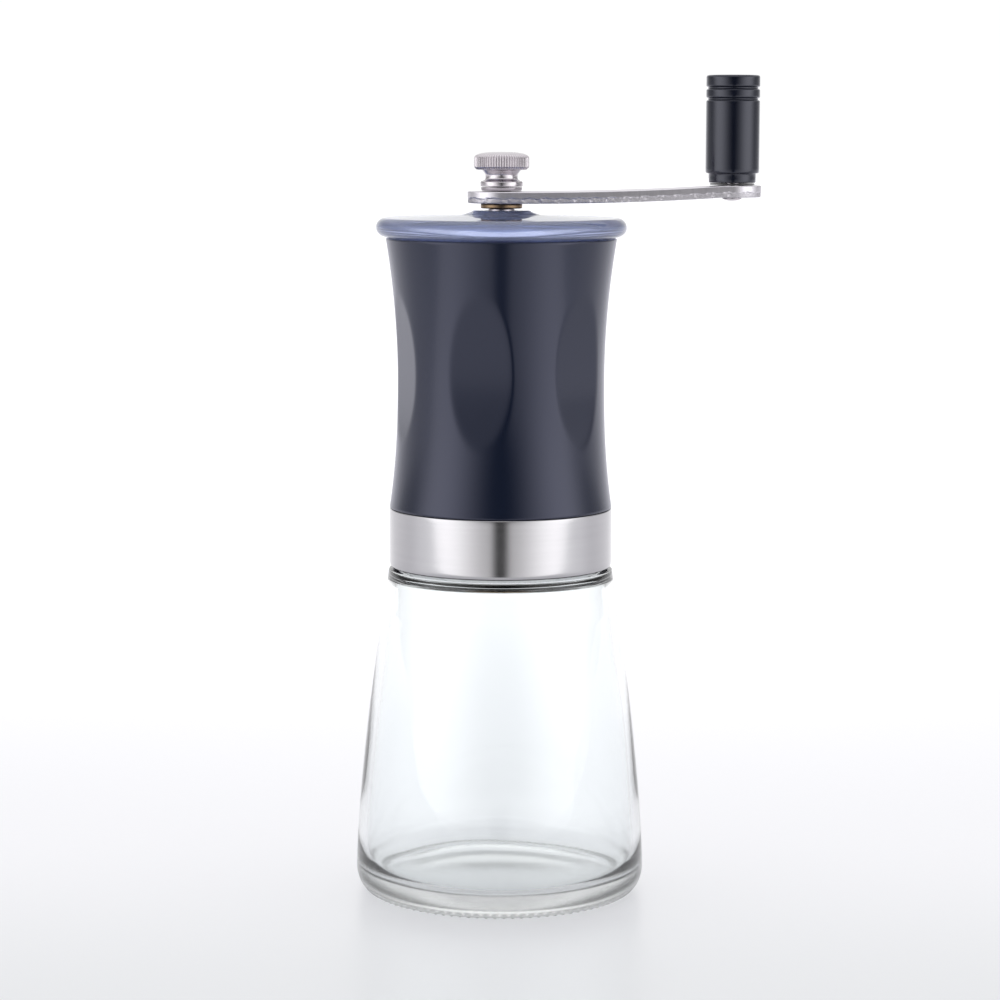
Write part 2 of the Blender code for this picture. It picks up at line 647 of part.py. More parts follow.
def make_hopper():
    flange_r = MOUTH_R - GAP
    foot = LEDGE + SEAT
    cone_foot = HOPPER_BOTTOM + HOPPER_FOOT
    cone_top = cone_foot + HOPPER_CONE
    outline = [
        (flange_r, foot + HOPPER_FLANGE), (flange_r, foot), (INNER_UNIT_R, foot), (INNER_UNIT_R, cone_top),
        (HOPPER_THROAT_R + HOPPER_WALL, cone_foot), (HOPPER_THROAT_R + HOPPER_WALL, HOPPER_BOTTOM),
        (HOPPER_THROAT_R, HOPPER_BOTTOM), (HOPPER_THROAT_R, cone_foot),
        (INNER_UNIT_R - HOPPER_WALL, cone_top), (INNER_UNIT_R - HOPPER_WALL, foot + HOPPER_FLANGE),
    ]
    return turned("hopper", outline, "dark_plastic", LARGE)


# ---------------------------------------------------------------------------------------------------------
# Bearings
def add_arms(bridge, reach, foot, top):
    """Joins a bridge's ring to its hub by evenly spaced arms."""
    for i in range(BRIDGE_ARMS):
        inner = (HUB_BORE_R + BRIDGE_HUB_R) / 2
        outline = box_outline(inner, reach, -BRIDGE_ARM_WIDTH / 2, BRIDGE_ARM_WIDTH / 2)
        arm = extruded(f"{bridge.name}_arm_{i + 1}", outline, foot, top, "dark_plastic")
        arm.rotation_euler.z = 2 * math.pi * i / BRIDGE_ARMS
        add(bridge, arm)


def make_upper_bridge():
    outer = MOUTH_R - GAP
    bridge = tube(
        "upper_bridge", outer - UPPER_RING_WIDTH, outer,
        UPPER_RING_FOOT, UPPER_RING_FOOT + UPPER_RING_HEIGHT, "dark_plastic", MEDIUM,
    )
    add_arms(bridge, outer - UPPER_RING_WIDTH / 2, UPPER_RING_FOOT + SEAT, UPPER_ARM_TOP)
    hub = tube(
        "upper_bridge_hub", HUB_BORE_R, BRIDGE_HUB_R, UPPER_HUB_FOOT, UPPER_HUB_TOP, "dark_plastic", SMALL
    )
    return add(bridge, hub)


def make_lower_bridge():
    bore = INNER_UNIT_R - BRIDGE_WALL
    outline = [
        (INNER_UNIT_R, LOWER_BRIDGE_TOP), (INNER_UNIT_R, LOWER_BRIDGE_FOOT), (LIP_R, LOWER_BRIDGE_FOOT),
        (LIP_R, LOWER_BRIDGE_FOOT + BRIDGE_FLANGE), (bore, LOWER_BRIDGE_FOOT + BRIDGE_FLANGE),
        (bore, LOWER_BRIDGE_TOP),
    ]
    bridge = turned("lower_bridge", outline, "dark_plastic", MEDIUM)
    arm_foot = LOWER_BRIDGE_TOP - LOWER_ARM_HEIGHT
    add_arms(bridge, INNER_UNIT_R - BRIDGE_WALL / 2, arm_foot, LOWER_BRIDGE_TOP - SEAT)
    hub = tube(
        "lower_bridge_hub", HUB_BORE_R, BRIDGE_HUB_R,
        LOWER_HUB_FOOT, LOWER_BRIDGE_TOP + HUB_ABOVE, "dark_plastic", SMALL,
    )
    add(bridge, hub)
    drill_screw_holes(bridge, LOWER_BRIDGE_FOOT, LOWER_BRIDGE_FOOT + BRIDGE_FLANGE)
    return bridge


def make_upper_bush():
    """Pressed in from above, so its flange lies on the hub."""
    flange_foot = UPPER_HUB_TOP + SEAT
    outline = [
        (BUSH_FLANGE_R, flange_foot + BUSH_FLANGE), (BUSH_FLANGE_R, flange_foot), (BUSH_R, flange_foot),
        (BUSH_R, UPPER_HUB_FOOT), (BUSH_BORE_R, UPPER_HUB_FOOT), (BUSH_BORE_R, flange_foot + BUSH_FLANGE),
    ]
    return turned("upper_bush", outline, "acetal")


def make_lower_bush():
    """Pressed in from below, so its flange takes the spring."""
    flange_top = LOWER_HUB_FOOT - SEAT
    top = LOWER_BRIDGE_TOP + HUB_ABOVE
    outline = [
        (BUSH_R, top), (BUSH_R, flange_top), (BUSH_FLANGE_R, flange_top),
        (BUSH_FLANGE_R, flange_top - BUSH_FLANGE), (BUSH_BORE_R, flange_top - BUSH_FLANGE),
        (BUSH_BORE_R, top),
    ]
    return turned("lower_bush", outline, "acetal")


# ---------------------------------------------------------------------------------------------------------
# Burrs
def make_housing():
    outline = [
        (INNER_UNIT_R, HOUSING_TOP), (INNER_UNIT_R, HOUSING_FLANGE_FOOT), (HOUSING_R, HOUSING_FLANGE_FOOT),
        (HOUSING_R, HOUSING_FOOT), (LIP_R, HOUSING_FOOT), (LIP_R, HOUSING_FOOT + HOUSING_LIP),
        (HOUSING_BORE_R, HOUSING_FOOT + HOUSING_LIP), (HOUSING_BORE_R, HOUSING_TOP),
    ]
    housing = turned("burr_housing", outline, "dark_plastic", MEDIUM)
    drill_screw_holes(housing, HOUSING_FLANGE_FOOT, HOUSING_TOP)
    return housing


def make_screws():
    head_foot = LOWER_BRIDGE_FOOT + BRIDGE_FLANGE + SEAT
    head_top = head_foot + SCREW_HEAD_HEIGHT
    outline = [
        (0, head_top), (SCREW_HEAD_R * 0.75, head_top), (SCREW_HEAD_R, head_top - SCREW_HEAD_HEIGHT / 3),
        (SCREW_HEAD_R, head_foot), (SCREW_R, head_foot), (SCREW_R, COLLAR_FLOOR_FOOT + SEAT),
        (0, COLLAR_FLOOR_FOOT + SEAT),
    ]
    slot = box_outline(-2 * SCREW_HEAD_R, 2 * SCREW_HEAD_R, -SCREW_SLOT / 2, SCREW_SLOT / 2)
    for i, (x, y) in enumerate(screw_places(), 1):
        screw = turned(f"housing_screw_{i}", outline, "turned_steel", TINY, (x, y, 0))
        slot_foot = head_top - SCREW_SLOT
        cut(screw, extruded(f"screw_slot_{i}", slot, slot_foot, head_top + 0.001, "turned_steel", (x, y, 0)))


def make_outer_burr():
    throat = OUTER_BURR_FOOT + BURR_ZONE
    exit_r = BURR_THROAT_R + BURR_SLOPE * BURR_ZONE
    toothed = [(exit_r, OUTER_BURR_FOOT), (BURR_THROAT_R, throat), (BURR_ENTRY_R, OUTER_BURR_TOP)]
    outline = [(OUTER_BURR_R, OUTER_BURR_TOP), (OUTER_BURR_R, OUTER_BURR_FOOT)] + toothed
    return fluted("outer_burr", outline, toothed, "ceramic", outward=True)


def make_inner_burr():
    """The cone keeps the burr gap to the outer burr all down the grinding zone."""
    zone_top = INNER_BURR_FOOT + ADJUST_TRAVEL + BURR_ZONE
    throat_r = BURR_THROAT_R - BURR_GAP
    foot_r = throat_r + BURR_SLOPE * (zone_top - INNER_BURR_FOOT) - BURR_SLOPE * ADJUST_TRAVEL
    toothed = [(INNER_BURR_TOP_R, INNER_BURR_TOP), (throat_r, zone_top), (foot_r, INNER_BURR_FOOT)]
    bore = DRIVER_R + GAP
    outline = toothed + [(bore, INNER_BURR_FOOT), (bore, INNER_BURR_TOP)]
    return fluted("inner_burr", outline, toothed, "ceramic", outward=False)


def make_driver():
    """The burr's core: its flange carries the burr, and its bore has the shaft's two flats."""
    outline = double_d_outline(DRIVER_R, DRIVER_FLATS)
    driver = extruded("burr_driver", outline, DRIVER_FOOT + DRIVER_FLANGE / 2, DRIVER_TOP, "acetal")
    flange = rod(
        "burr_driver_flange", DRIVER_FLANGE_R, DRIVER_FOOT, DRIVER_FLANGE_TOP, "acetal", MEDIUM
    )
    add(driver, flange)
    bore = double_d_outline(SHAFT_LOWER_R + GAP, SHAFT_LOWER_FLATS + 2 * GAP)
    return cut(driver, extruded("burr_driver_bore", bore, DRIVER_FOOT - 0.001, DRIVER_TOP + 0.001, "acetal"))


def make_click_plate():
    outline = lobed_outline(CLICK_PLATE_R, 0.0008, CLICKS, 4)
    plate = extruded("click_plate", outline, CLICK_FOOT, CLICK_TOP, "spring_steel")
    bore = double_d_outline(SHAFT_LOWER_R + GAP, SHAFT_LOWER_FLATS + 2 * GAP)
    return cut(plate, extruded("click_plate_bore", bore, CLICK_FOOT - 0.001, CLICK_TOP + 0.001, "acetal"))


def make_adjusting_nut():
    outline = lobed_outline(ADJUST_NUT_R, ADJUST_NUT_LOBE, ADJUST_NUT_LOBES, 6)
    nut = extruded("adjusting_nut", outline, ADJUST_NUT_FOOT, ADJUST_NUT_TOP, "brass")
    bore = rod(
        "adjusting_nut_bore", SHAFT_LOWER_R + GAP, ADJUST_NUT_FOOT - 0.001, ADJUST_NUT_TOP + 0.001, "acetal"
    )
    return cut(nut, bore)


# ---------------------------------------------------------------------------------------------------------
# Drive
def make_shaft():
    """Flats and thread below for the burr, a square and a thread above for the crank."""
    neck = DRIVER_TOP + ADJUST_TRAVEL + GAP
    step = SPRING_WASHER_TOP + SEAT
    outline = [
        (0, SHAFT_SHOULDER), (SHAFT_R, SHAFT_SHOULDER), (SHAFT_R, step), (SHAFT_LOWER_R, step),
        (SHAFT_LOWER_R, neck), (0, neck),
    ]
    shaft = turned("drive_shaft", outline, "turned_steel")
    flats = double_d_outline(SHAFT_LOWER_R, SHAFT_LOWER_FLATS)
    add(shaft, extruded("shaft_flats", flats, SHAFT_FOOT, neck + 0.002, "turned_steel"))
    half = SHAFT_SQUARE / 2
    square = box_outline(-half, half, -half, half)
    add(shaft, extruded("shaft_square", square, SHAFT_SHOULDER - 0.002, SHAFT_SQUARE_TOP, "turned_steel"))
    thread = [
        (0, SHAFT_TOP), (SHAFT_THREAD_R - 0.0005, SHAFT_TOP), (SHAFT_THREAD_R, SHAFT_TOP - 0.0005),
        (SHAFT_THREAD_R, SHAFT_SQUARE_TOP - 0.002), (0, SHAFT_SQUARE_TOP - 0.002),
    ]
    return add(shaft, turned("shaft_thread", thread, "turned_steel", TINY))


def square_cutter(name, foot, top):
    half = SHAFT_SQUARE / 2 + SQUARE_GAP
    return extruded(name, box_outline(-half, half, -half, half), foot - 0.001, top + 0.001, "turned_steel")


def make_drive_ring():
    ring = rod("drive_ring", RING_R, RING_FOOT, RING_TOP, "brass", MEDIUM)
    return cut(ring, square_cutter("drive_ring_square", RING_FOOT, RING_TOP))


def make_shaft_collar():
    foot = SHAFT_COLLAR_FOOT
    return tube("shaft_collar", SHAFT_R + RUN, SHAFT_COLLAR_R, foot, foot + SHAFT_COLLAR, "brass")


def make_spring():
    """A coil spring, drawn as a round wire along a helix."""
    per_turn = 10
    count = int(SPRING_TURNS * per_turn) + 1
    low = SPRING_FOOT + SPRING_WIRE_R
    high = SPRING_TOP - SPRING_WIRE_R
    curve = bpy.data.curves.new("burr_spring", "CURVE")
    curve.dimensions = "3D"
    curve.bevel_depth = SPRING_WIRE_R
    curve.bevel_resolution = 1
    curve.use_fill_caps = True
    spline = curve.splines.new("POLY")
    spline.points.add(count - 1)
    for i in range(count):
        angle = 2 * math.pi * i / per_turn
        z = low + (high - low) * i / (count - 1)
        spline.points[i].co = (SPRING_R * math.cos(angle), SPRING_R * math.sin(angle), z, 1.0)
    curve.materials.append(finish("spring_steel"))
    spring = bpy.data.objects.new("burr_spring", curve)
    bpy.context.scene.collection.objects.link(spring)
    return spring


def make_spring_washer():
    return tube(
        "spring_washer", SHAFT_LOWER_R + GAP, BUSH_FLANGE_R, SPRING_WASHER_FOOT, SPRING_WASHER_TOP,
        "spring_steel",
    )


# ---------------------------------------------------------------------------------------------------------
# Lid
def make_lid():
    rim = LID_RIM / 2
    rim_z = LID_FOOT + rim
    rim_r = LID_R - rim
    spigot_foot = LID_FOOT - LID_SPIGOT
    underside = LID_RIM_TOP - LID_PLATE
    outline = [(LID_BORE_R, BOSS_TOP), (BOSS_TOP_R, BOSS_TOP), (BOSS_ROOT_R, LID_PLATE_TOP)]
    outline += arc(rim_r, rim_z, rim, 90, -90, 7)
    outline += [(LID_SPIGOT_R, LID_FOOT), (LID_SPIGOT_R, spigot_foot)]
    outline += [(LID_SPIGOT_R - LID_SPIGOT_WALL, spigot_foot), (LID_SPIGOT_R - LID_SPIGOT_WALL, underside)]
    outline += [(BOSS_HOLLOW_R, underside + LID_CROWN / 2), (BOSS_HOLLOW_R, BOSS_TOP - LID_PLATE)]
    outline += [(LID_BORE_R, BOSS_TOP - LID_PLATE)]
    return turned("lid", outline, "tinted_acrylic", LARGE)


# ---------------------------------------------------------------------------------------------------------
# Crank
def arm_rise(x):
    """How far the arm is bent up at x."""
    end = CRANK_RADIUS - ARM_BEND_END
    return ARM_RISE * min(1.0, max(0.0, x / end)) ** ARM_BEND_POWER


def arm_half_width(x):
    """Half the arm's width at x: two round ends joined by straight sides that touch both."""
    lean = (HUB_R - TIP_R) / CRANK_RADIUS
    hub_x = HUB_R * lean
    tip_x = CRANK_RADIUS + TIP_R * lean
    if x <= hub_x:
        return math.sqrt(max(0.0, HUB_R ** 2 - x ** 2))
    if x >= tip_x:
        return math.sqrt(max(0.0, TIP_R ** 2 - (x - CRANK_RADIUS) ** 2))
    share = (x - hub_x) / (tip_x - hub_x)
    level = math.sqrt(1 - lean ** 2)
    return (HUB_R + (TIP_R - HUB_R) * share) * level


def arm_stations():
    """Places along the arm: close together around its round ends."""
    bends = [math.radians(angle) for angle in (12, 28, 45, 65, 88)]
    hub = [-HUB_R * math.cos(bend) for bend in bends]
    straight = [CRANK_RADIUS * i / 8 for i in range(1, 8)]
    tip = [CRANK_RADIUS + TIP_R * math.cos(bend) for bend in reversed(bends)]
    return hub + straight + [CRANK_RADIUS - ARM_BEND_END] + tip


def make_arm():
    bm = bmesh.new()
    rings = []
    for x in arm_stations():
        half = arm_half_width(x)
        inner = half - ARM_EDGE
        low = ARM_FOOT + arm_rise(x)
        high = low + ARM_THICKNESS
        section = [
            (-inner, low), (inner, low), (half, low + ARM_EDGE), (half, high - ARM_EDGE),
            (inner, high), (-inner, high), (-half, high - ARM_EDGE), (-half, low + ARM_EDGE),
        ]
        rings.append([bm.verts.new((x, y, z)) for y, z in section])
    for first, second in zip(rings, rings[1:]):
        for k in range(len(first)):
            bm.faces.new((first[k - 1], first[k], second[k], second[k - 1]))
    bm.faces.new(rings[0])
    bm.faces.new(rings[-1])
    arm = place("crank_arm", bm, "brushed_steel")
    cut(arm, square_cutter("arm_square", ARM_FOOT, ARM_TOP))
    hole = rod("arm_pin_hole", PIN_BORE_R, ARM_FOOT, PAD_TOP + 0.001, "turned_steel", SMALL, KNOB_PLACE)
    return cut(arm, hole)


def make_nut_washer():
    top = NUT_WASHER_FOOT + NUT_WASHER
    outline = [
        (NUT_WASHER_R, top), (NUT_WASHER_R - 0.0002, NUT_WASHER_FOOT),
        (NUT_BORE_R, NUT_WASHER_FOOT), (NUT_BORE_R, top),
    ]
    return turned("nut_washer", outline, "turned_steel", MEDIUM)


def make_nut():
    """The thumb nut: collar, waisted neck, knurled head. Its bore is blind."""
    knurl = [
        (NUT_HEAD_R, NUT_HEAD_TOP - NUT_HEAD_CHAMFER),
        (NUT_HEAD_R, NUT_HEAD_FOOT + NUT_HEAD_CHAMFER),
    ]
    bore_top = SHAFT_TOP + NUT_BORE_END
    outline = [
        (0, NUT_HEAD_TOP + NUT_DOME), (NUT_HEAD_R - 2 * NUT_HEAD_CHAMFER, NUT_HEAD_TOP), *knurl,
        (NUT_HEAD_R - NUT_HEAD_CHAMFER, NUT_HEAD_FOOT), (NUT_NECK_R + NUT_FLARE / 2, NUT_HEAD_FOOT),
        (NUT_NECK_R, NUT_NECK_FOOT + NUT_NECK), (NUT_NECK_R, NUT_NECK_FOOT),
        (NUT_WASHER_R, NUT_NECK_FOOT - NUT_FLARE), (NUT_WASHER_R, NUT_FOOT), (NUT_BORE_R, NUT_FOOT),
        (NUT_BORE_R, bore_top), (0, bore_top + NUT_BORE_R / 3),
    ]
    bm = spun(outline, NUT_TEETH * 2)
    for vert in bm.verts:
        radius = math.hypot(vert.co.x, vert.co.y)
        tooth = round(math.atan2(vert.co.y, vert.co.x) / math.pi * NUT_TEETH) % 2
        if tooth and abs(radius - NUT_HEAD_R) < 1e-6:
            vert.co.xy = vert.co.xy * (radius - NUT_TOOTH) / radius
    return place("crank_nut", bm, "turned_steel")


def make_pin():
    shoulder = PIN_HEAD_TOP
    outline = [
        (0, PIN_TOP), (PIN_R, PIN_TOP), (PIN_R, shoulder), (PIN_HEAD_R, shoulder),
        (PIN_HEAD_R, shoulder - PIN_HEAD / 3), (PIN_HEAD_R * 0.7, shoulder - PIN_HEAD),
        (0, shoulder - PIN_HEAD),
    ]
    return turned("knob_pin", outline, "turned_steel", SMALL, KNOB_PLACE)


def make_knob():
    outline = [(KNOB_CAP_R + GAP, KNOB_TOP), (KNOB_R - KNOB_EDGE, KNOB_TOP), (KNOB_R, KNOB_TOP - KNOB_EDGE)]
    for depth in GROOVE_DEPTHS:
        middle = KNOB_TOP - depth
        outline += [(KNOB_R, middle + GROOVE_HALF), (KNOB_R - GROOVE_DEPTH, middle)]
        outline += [(KNOB_R, middle - GROOVE_HALF)]
    foot_top = KNOB_BOTTOM + KNOB_FOOT
    cap_seat = KNOB_TOP - KNOB_CAP_SINK - KNOB_CAP - SEAT
    outline += [
        (KNOB_R, foot_top + KNOB_EDGE), (KNOB_R - KNOB_EDGE, foot_top), (KNOB_FOOT_R, foot_top),
        (KNOB_FOOT_R, KNOB_BOTTOM), (PIN_BORE_R, KNOB_BOTTOM), (PIN_BORE_R, CHAMBER_FLOOR),
        (KNOB_CHAMBER_R, CHAMBER_FLOOR), (KNOB_CHAMBER_R, cap_seat), (KNOB_CAP_R + GAP, cap_seat),
    ]
    return turned("knob", outline, "anodised_black", MEDIUM, KNOB_PLACE)


def make_knob_trim():
    cap_top = KNOB_TOP - KNOB_CAP_SINK
    edge = KNOB_EDGE / 2
    cap = [
        (0, cap_top), (KNOB_CAP_R - edge, cap_top), (KNOB_CAP_R, cap_top - edge),
        (KNOB_CAP_R, cap_top - KNOB_CAP), (0, cap_top - KNOB_CAP),
    ]
    turned("knob_cap", cap, "anodised_black", SMALL, KNOB_PLACE)
    tube(
        "knob_washer", PIN_BORE_R, KNOB_FOOT_R - GAP, KNOB_WASHER_FOOT,
        KNOB_WASHER_FOOT + KNOB_WASHER, "dark_plastic", SMALL, KNOB_PLACE,
    )
    tube("pin_clip", PIN_R + RUN, CLIP_R, CLIP_FOOT, CLIP_FOOT + CLIP, "spring_steel", TINY, KNOB_PLACE)


def main():
    for old in list(bpy.data.objects):
        bpy.data.objects.remove(old, do_unlink=True)
    make_jar()
    make_gasket()
    make_collar()
    make_band()
    make_shell()
    make_hopper()
    make_upper_bridge()
    make_upper_bush()
    make_lower_bridge()
    make_lower_bush()
    make_housing()
    make_outer_burr()
    make_screws()
    make_shaft()
    make_drive_ring()
    make_shaft_collar()
    make_spring()
    make_spring_washer()
    make_inner_burr()
    make_driver()
    make_click_plate()
    make_adjusting_nut()
    make_lid()
    make_arm()
    make_nut_washer()
    make_nut()
    make_pin()
    make_knob()
    make_knob_trim()


main()
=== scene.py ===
"""Looks of the hand crank coffee grinder: fine surfaces and procedural finishes around the CAD frame.

Every turned piece is a profile in the (radius, height) plane, carried round the Z axis on a numpy grid and
warped by a formula where it isn't round. Sizes are in metres, +Z is up, and places come from the CAD boxes.
"""

from __future__ import annotations

import json
import logging
import math
from collections.abc import Callable, Sequence
from dataclasses import dataclass
from enum import Enum

import bmesh
import bpy
import numpy as np
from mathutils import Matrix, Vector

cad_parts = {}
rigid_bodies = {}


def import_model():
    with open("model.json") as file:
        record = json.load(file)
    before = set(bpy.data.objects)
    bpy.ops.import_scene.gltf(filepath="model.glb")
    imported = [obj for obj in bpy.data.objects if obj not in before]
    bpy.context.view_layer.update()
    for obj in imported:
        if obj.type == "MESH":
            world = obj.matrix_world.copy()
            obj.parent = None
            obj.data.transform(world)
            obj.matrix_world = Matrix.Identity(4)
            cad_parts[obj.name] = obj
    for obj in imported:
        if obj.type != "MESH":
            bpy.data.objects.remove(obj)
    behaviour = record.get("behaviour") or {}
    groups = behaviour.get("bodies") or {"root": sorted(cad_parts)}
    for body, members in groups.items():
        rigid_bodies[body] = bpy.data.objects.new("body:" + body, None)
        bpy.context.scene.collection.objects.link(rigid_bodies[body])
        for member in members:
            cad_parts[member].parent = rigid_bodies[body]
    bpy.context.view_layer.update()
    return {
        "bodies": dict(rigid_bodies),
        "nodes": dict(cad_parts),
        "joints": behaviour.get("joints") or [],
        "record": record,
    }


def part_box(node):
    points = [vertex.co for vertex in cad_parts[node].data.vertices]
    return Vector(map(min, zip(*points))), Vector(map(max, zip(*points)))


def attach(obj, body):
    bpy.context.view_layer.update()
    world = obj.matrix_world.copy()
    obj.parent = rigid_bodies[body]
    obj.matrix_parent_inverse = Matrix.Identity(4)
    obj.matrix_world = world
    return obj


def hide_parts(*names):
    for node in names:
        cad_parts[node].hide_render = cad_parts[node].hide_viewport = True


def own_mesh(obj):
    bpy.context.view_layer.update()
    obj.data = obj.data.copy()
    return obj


log = logging.getLogger("grinder")
Array = np.ndarray
Warp = Callable[[Array, Array, Array], tuple[Array, Array]]
Colour = tuple[float, float, float]
Steps = tuple[tuple[float, float, float], ...]
TAU = 2 * math.pi


# ---------------------------------------------------------------------------------------------------------
# Shader graph
class Value:
    """A shader socket that can be used in a Python expression. Each operator adds one Math node."""

    def __init__(self, graph: "Graph", socket: bpy.types.NodeSocket) -> None:
        """Wraps a socket of the graph."""
        self.graph = graph
        self.socket = socket

    def _math(
        self, operation: str, *others: "Value | float", first: "Value | float | None" = None
    ) -> "Value":
        """Adds a Math node.

        Args:
            operation: the node's operation.
            others: its further inputs.
            first: its first input, if that isn't this value.

        Returns:
            The node's result.
        """
        inputs = dict(enumerate((self if first is None else first, *others)))
        return self.graph.node("ShaderNodeMath", {"operation": operation}, inputs)

    def __add__(self, other: "Value | float") -> "Value":
        """Sum."""
        return self._math("ADD", other)

    __radd__ = __add__

    def __mul__(self, other: "Value | float") -> "Value":
        """Product."""
        return self._math("MULTIPLY", other)

    def __sub__(self, other: "Value | float") -> "Value":
        """Difference."""
        return self._math("SUBTRACT", other)

    def __rsub__(self, other: float) -> "Value":
        """Difference from a number."""
        return self._math("SUBTRACT", self, first=other)

    def __truediv__(self, other: "Value | float") -> "Value":
        """Quotient."""
        return self._math("DIVIDE", other)

    def __pow__(self, other: "Value | float") -> "Value":
        """Power."""
        return self._math("POWER", other)

    def at_most(self, other: "Value | float") -> "Value":
        """The smaller of the two."""
        return self._math("MINIMUM", other)

    def at_least(self, other: "Value | float") -> "Value":
        """The larger of the two."""
        return self._math("MAXIMUM", other)

    def angle_to(self, x: "Value") -> "Value":
        """The angle of the point (x, self) round the origin, in radians."""
        return self._math("ARCTAN2", x)

    def root(self) -> "Value":
        """Square root."""
        return self._math("SQRT")

    def ramp(self, low: float, high: float) -> "Value":
        """Goes smoothly from 0 at low to 1 at high, and stays there outside."""
        inputs = {"Value": self, "From Min": low, "From Max": high}
        return self.graph.node("ShaderNodeMapRange", {"interpolation_type": "SMOOTHSTEP"}, inputs)


class Graph:
    """A material's node tree, built one node at a time."""

    def __init__(self, name: str) -> None:
        """Starts a material with a bare Principled shader."""
        self.material = bpy.data.materials.new(name)
        self.material.use_nodes = True
        self.tree = self.material.node_tree
        self.shader = self.tree.nodes["Principled BSDF"]

    def feed(self, target: bpy.types.NodeSocket, value: object) -> None:
        """Sets or links one input socket."""
        if isinstance(value, Value):
            self.tree.links.new(value.socket, target)
        elif isinstance(value, tuple) and len(value) == 3 and target.type == "RGBA":
            target.default_value = (*value, 1.0)
        else:
            target.default_value = value

    def node(self, kind: str, settings: dict, inputs: dict, output: int | str = 0) -> Value:
        """Adds a node.

        Args:
            kind: its Blender type.
            settings: its properties, set first.
            inputs: values or links, by socket name or number.
            output: which of its outputs to return.

        Returns:
            That output.
        """
        made = self.tree.nodes.new(kind)
        for key, setting in settings.items():
            setattr(made, key, setting)
        for key, value in inputs.items():
            self.feed(made.inputs[key], value)
        return Value(self, made.outputs[output])

    def place(self) -> Value:
        """The point on the surface, in object coordinates."""
        return self.node("ShaderNodeTexCoord", {}, {}, "Object")

    def parts(self, vector: Value) -> tuple[Value, Value, Value]:
        """A vector's x, y and z."""
        x, y, z = (self.node("ShaderNodeSeparateXYZ", {}, {0: vector}, i) for i in range(3))
        return x, y, z

    def axes(self) -> tuple[Value, Value, Value]:
        """The point's x, y and z."""
        return self.parts(self.place())

    def vector(self, x: Value | float, y: Value | float, z: Value | float) -> Value:
        """A vector of three values."""
        return self.node("ShaderNodeCombineXYZ", {}, {0: x, 1: y, 2: z})

    def noise(self, vector: Value, scale: float, detail: float = 3.0, rough: float = 0.5) -> Value:
        """Fractal noise from 0 to 1, in features of about 1 / scale."""
        inputs = {"Vector": vector, "Scale": scale, "Detail": detail, "Roughness": rough}
        return self.node("ShaderNodeTexNoise", {}, inputs, "Fac")

    def mix(self, factor: Value, first: Colour | Value, second: Colour | Value) -> Value:
        """A colour from first at 0 to second at 1."""
        settings = {"data_type": "RGBA"}
        return self.node("ShaderNodeMix", settings, {0: factor, 6: first, 7: second}, 2)

    def round_place(self, across: float, along: float, centre_x: float = 0.0) -> Value:
        """A point whose noise is drawn out round the Z axis: across scales the turn, along the height."""
        x, y, z = self.axes()
        x = x - centre_x
        turn = y.angle_to(x)
        radius = (x * x + y * y).root()
        return self.vector(turn * across, radius * along, z * along)

    def bump(self, height: Value, strength: float, distance: float) -> None:
        """Feeds the shader's normal with a bump."""
        inputs = {"Height": height, "Strength": strength, "Distance": distance}
        self.feed(self.shader.inputs["Normal"], self.node("ShaderNodeBump", {}, inputs))

    def set(self, **values: object) -> None:
        """Sets sockets of the shader, named with underscores for spaces."""
        for key, value in values.items():
            self.feed(self.shader.inputs[key.replace("_", " ")], value)


class TentGraph(Graph):
    """The surroundings' node tree."""

    def __init__(self, name: str) -> None:
        """Starts a world with a bare Background shader, and makes it the scene's."""
        world = bpy.data.worlds.new(name)
        world.use_nodes = True
        self.tree = world.node_tree
        self.shader = self.tree.nodes["Background"]
        self.shader.inputs["Color"].default_value = (1.0, 1.0, 1.0, 1.0)
        bpy.context.scene.world = world

    def directions(self) -> tuple[Value, Value, Value]:
        """The x, y and z of the direction looked in."""
        return self.parts(self.node("ShaderNodeTexCoord", {}, {}, "Generated"))


# ---------------------------------------------------------------------------------------------------------
# Finishes
def shaded(colour: Colour, factor: float, lift: float = 0.0) -> Colour:
    """A colour times a factor plus a lift, and at most 1 in each channel."""
    red, green, blue = (min(1.0, factor * channel + lift) for channel in colour)
    return red, green, blue


@dataclass(frozen=True)
class Moulded:
    """Moulded plastic or rubber: fine grain, soft clouds in its gloss, and a shade of colour change."""

    name: str
    colour: Colour
    roughness: float
    grain: float = 2600.0
    depth: float = 0.00001
    coat: float = 0.0
    coat_roughness: float = 0.14
    clouds: float = 38.0
    clouding: float = 0.05
    tint: Colour = (1.0, 1.0, 1.0)
    shine: float = 0.5

    def paint(self) -> bpy.types.Material:
        """Builds the material."""
        graph = Graph(self.name)
        where = graph.place()
        cloud = graph.noise(where, self.clouds, 4.0, 0.6)
        grain = graph.noise(where, self.grain, 2.0)
        graph.set(
            Base_Color=graph.mix(cloud, self.colour, shaded(self.colour, 1.18, 0.002)),
            Roughness=self.roughness + (cloud - 0.5 + grain - 0.5) * self.clouding,
            Specular_IOR_Level=self.shine,
            Coat_Weight=self.coat,
            Coat_Roughness=self.coat_roughness,
            Specular_Tint=self.tint,
            Coat_Tint=self.tint,
        )
        graph.bump(grain, 0.25, self.depth)
        return graph.material


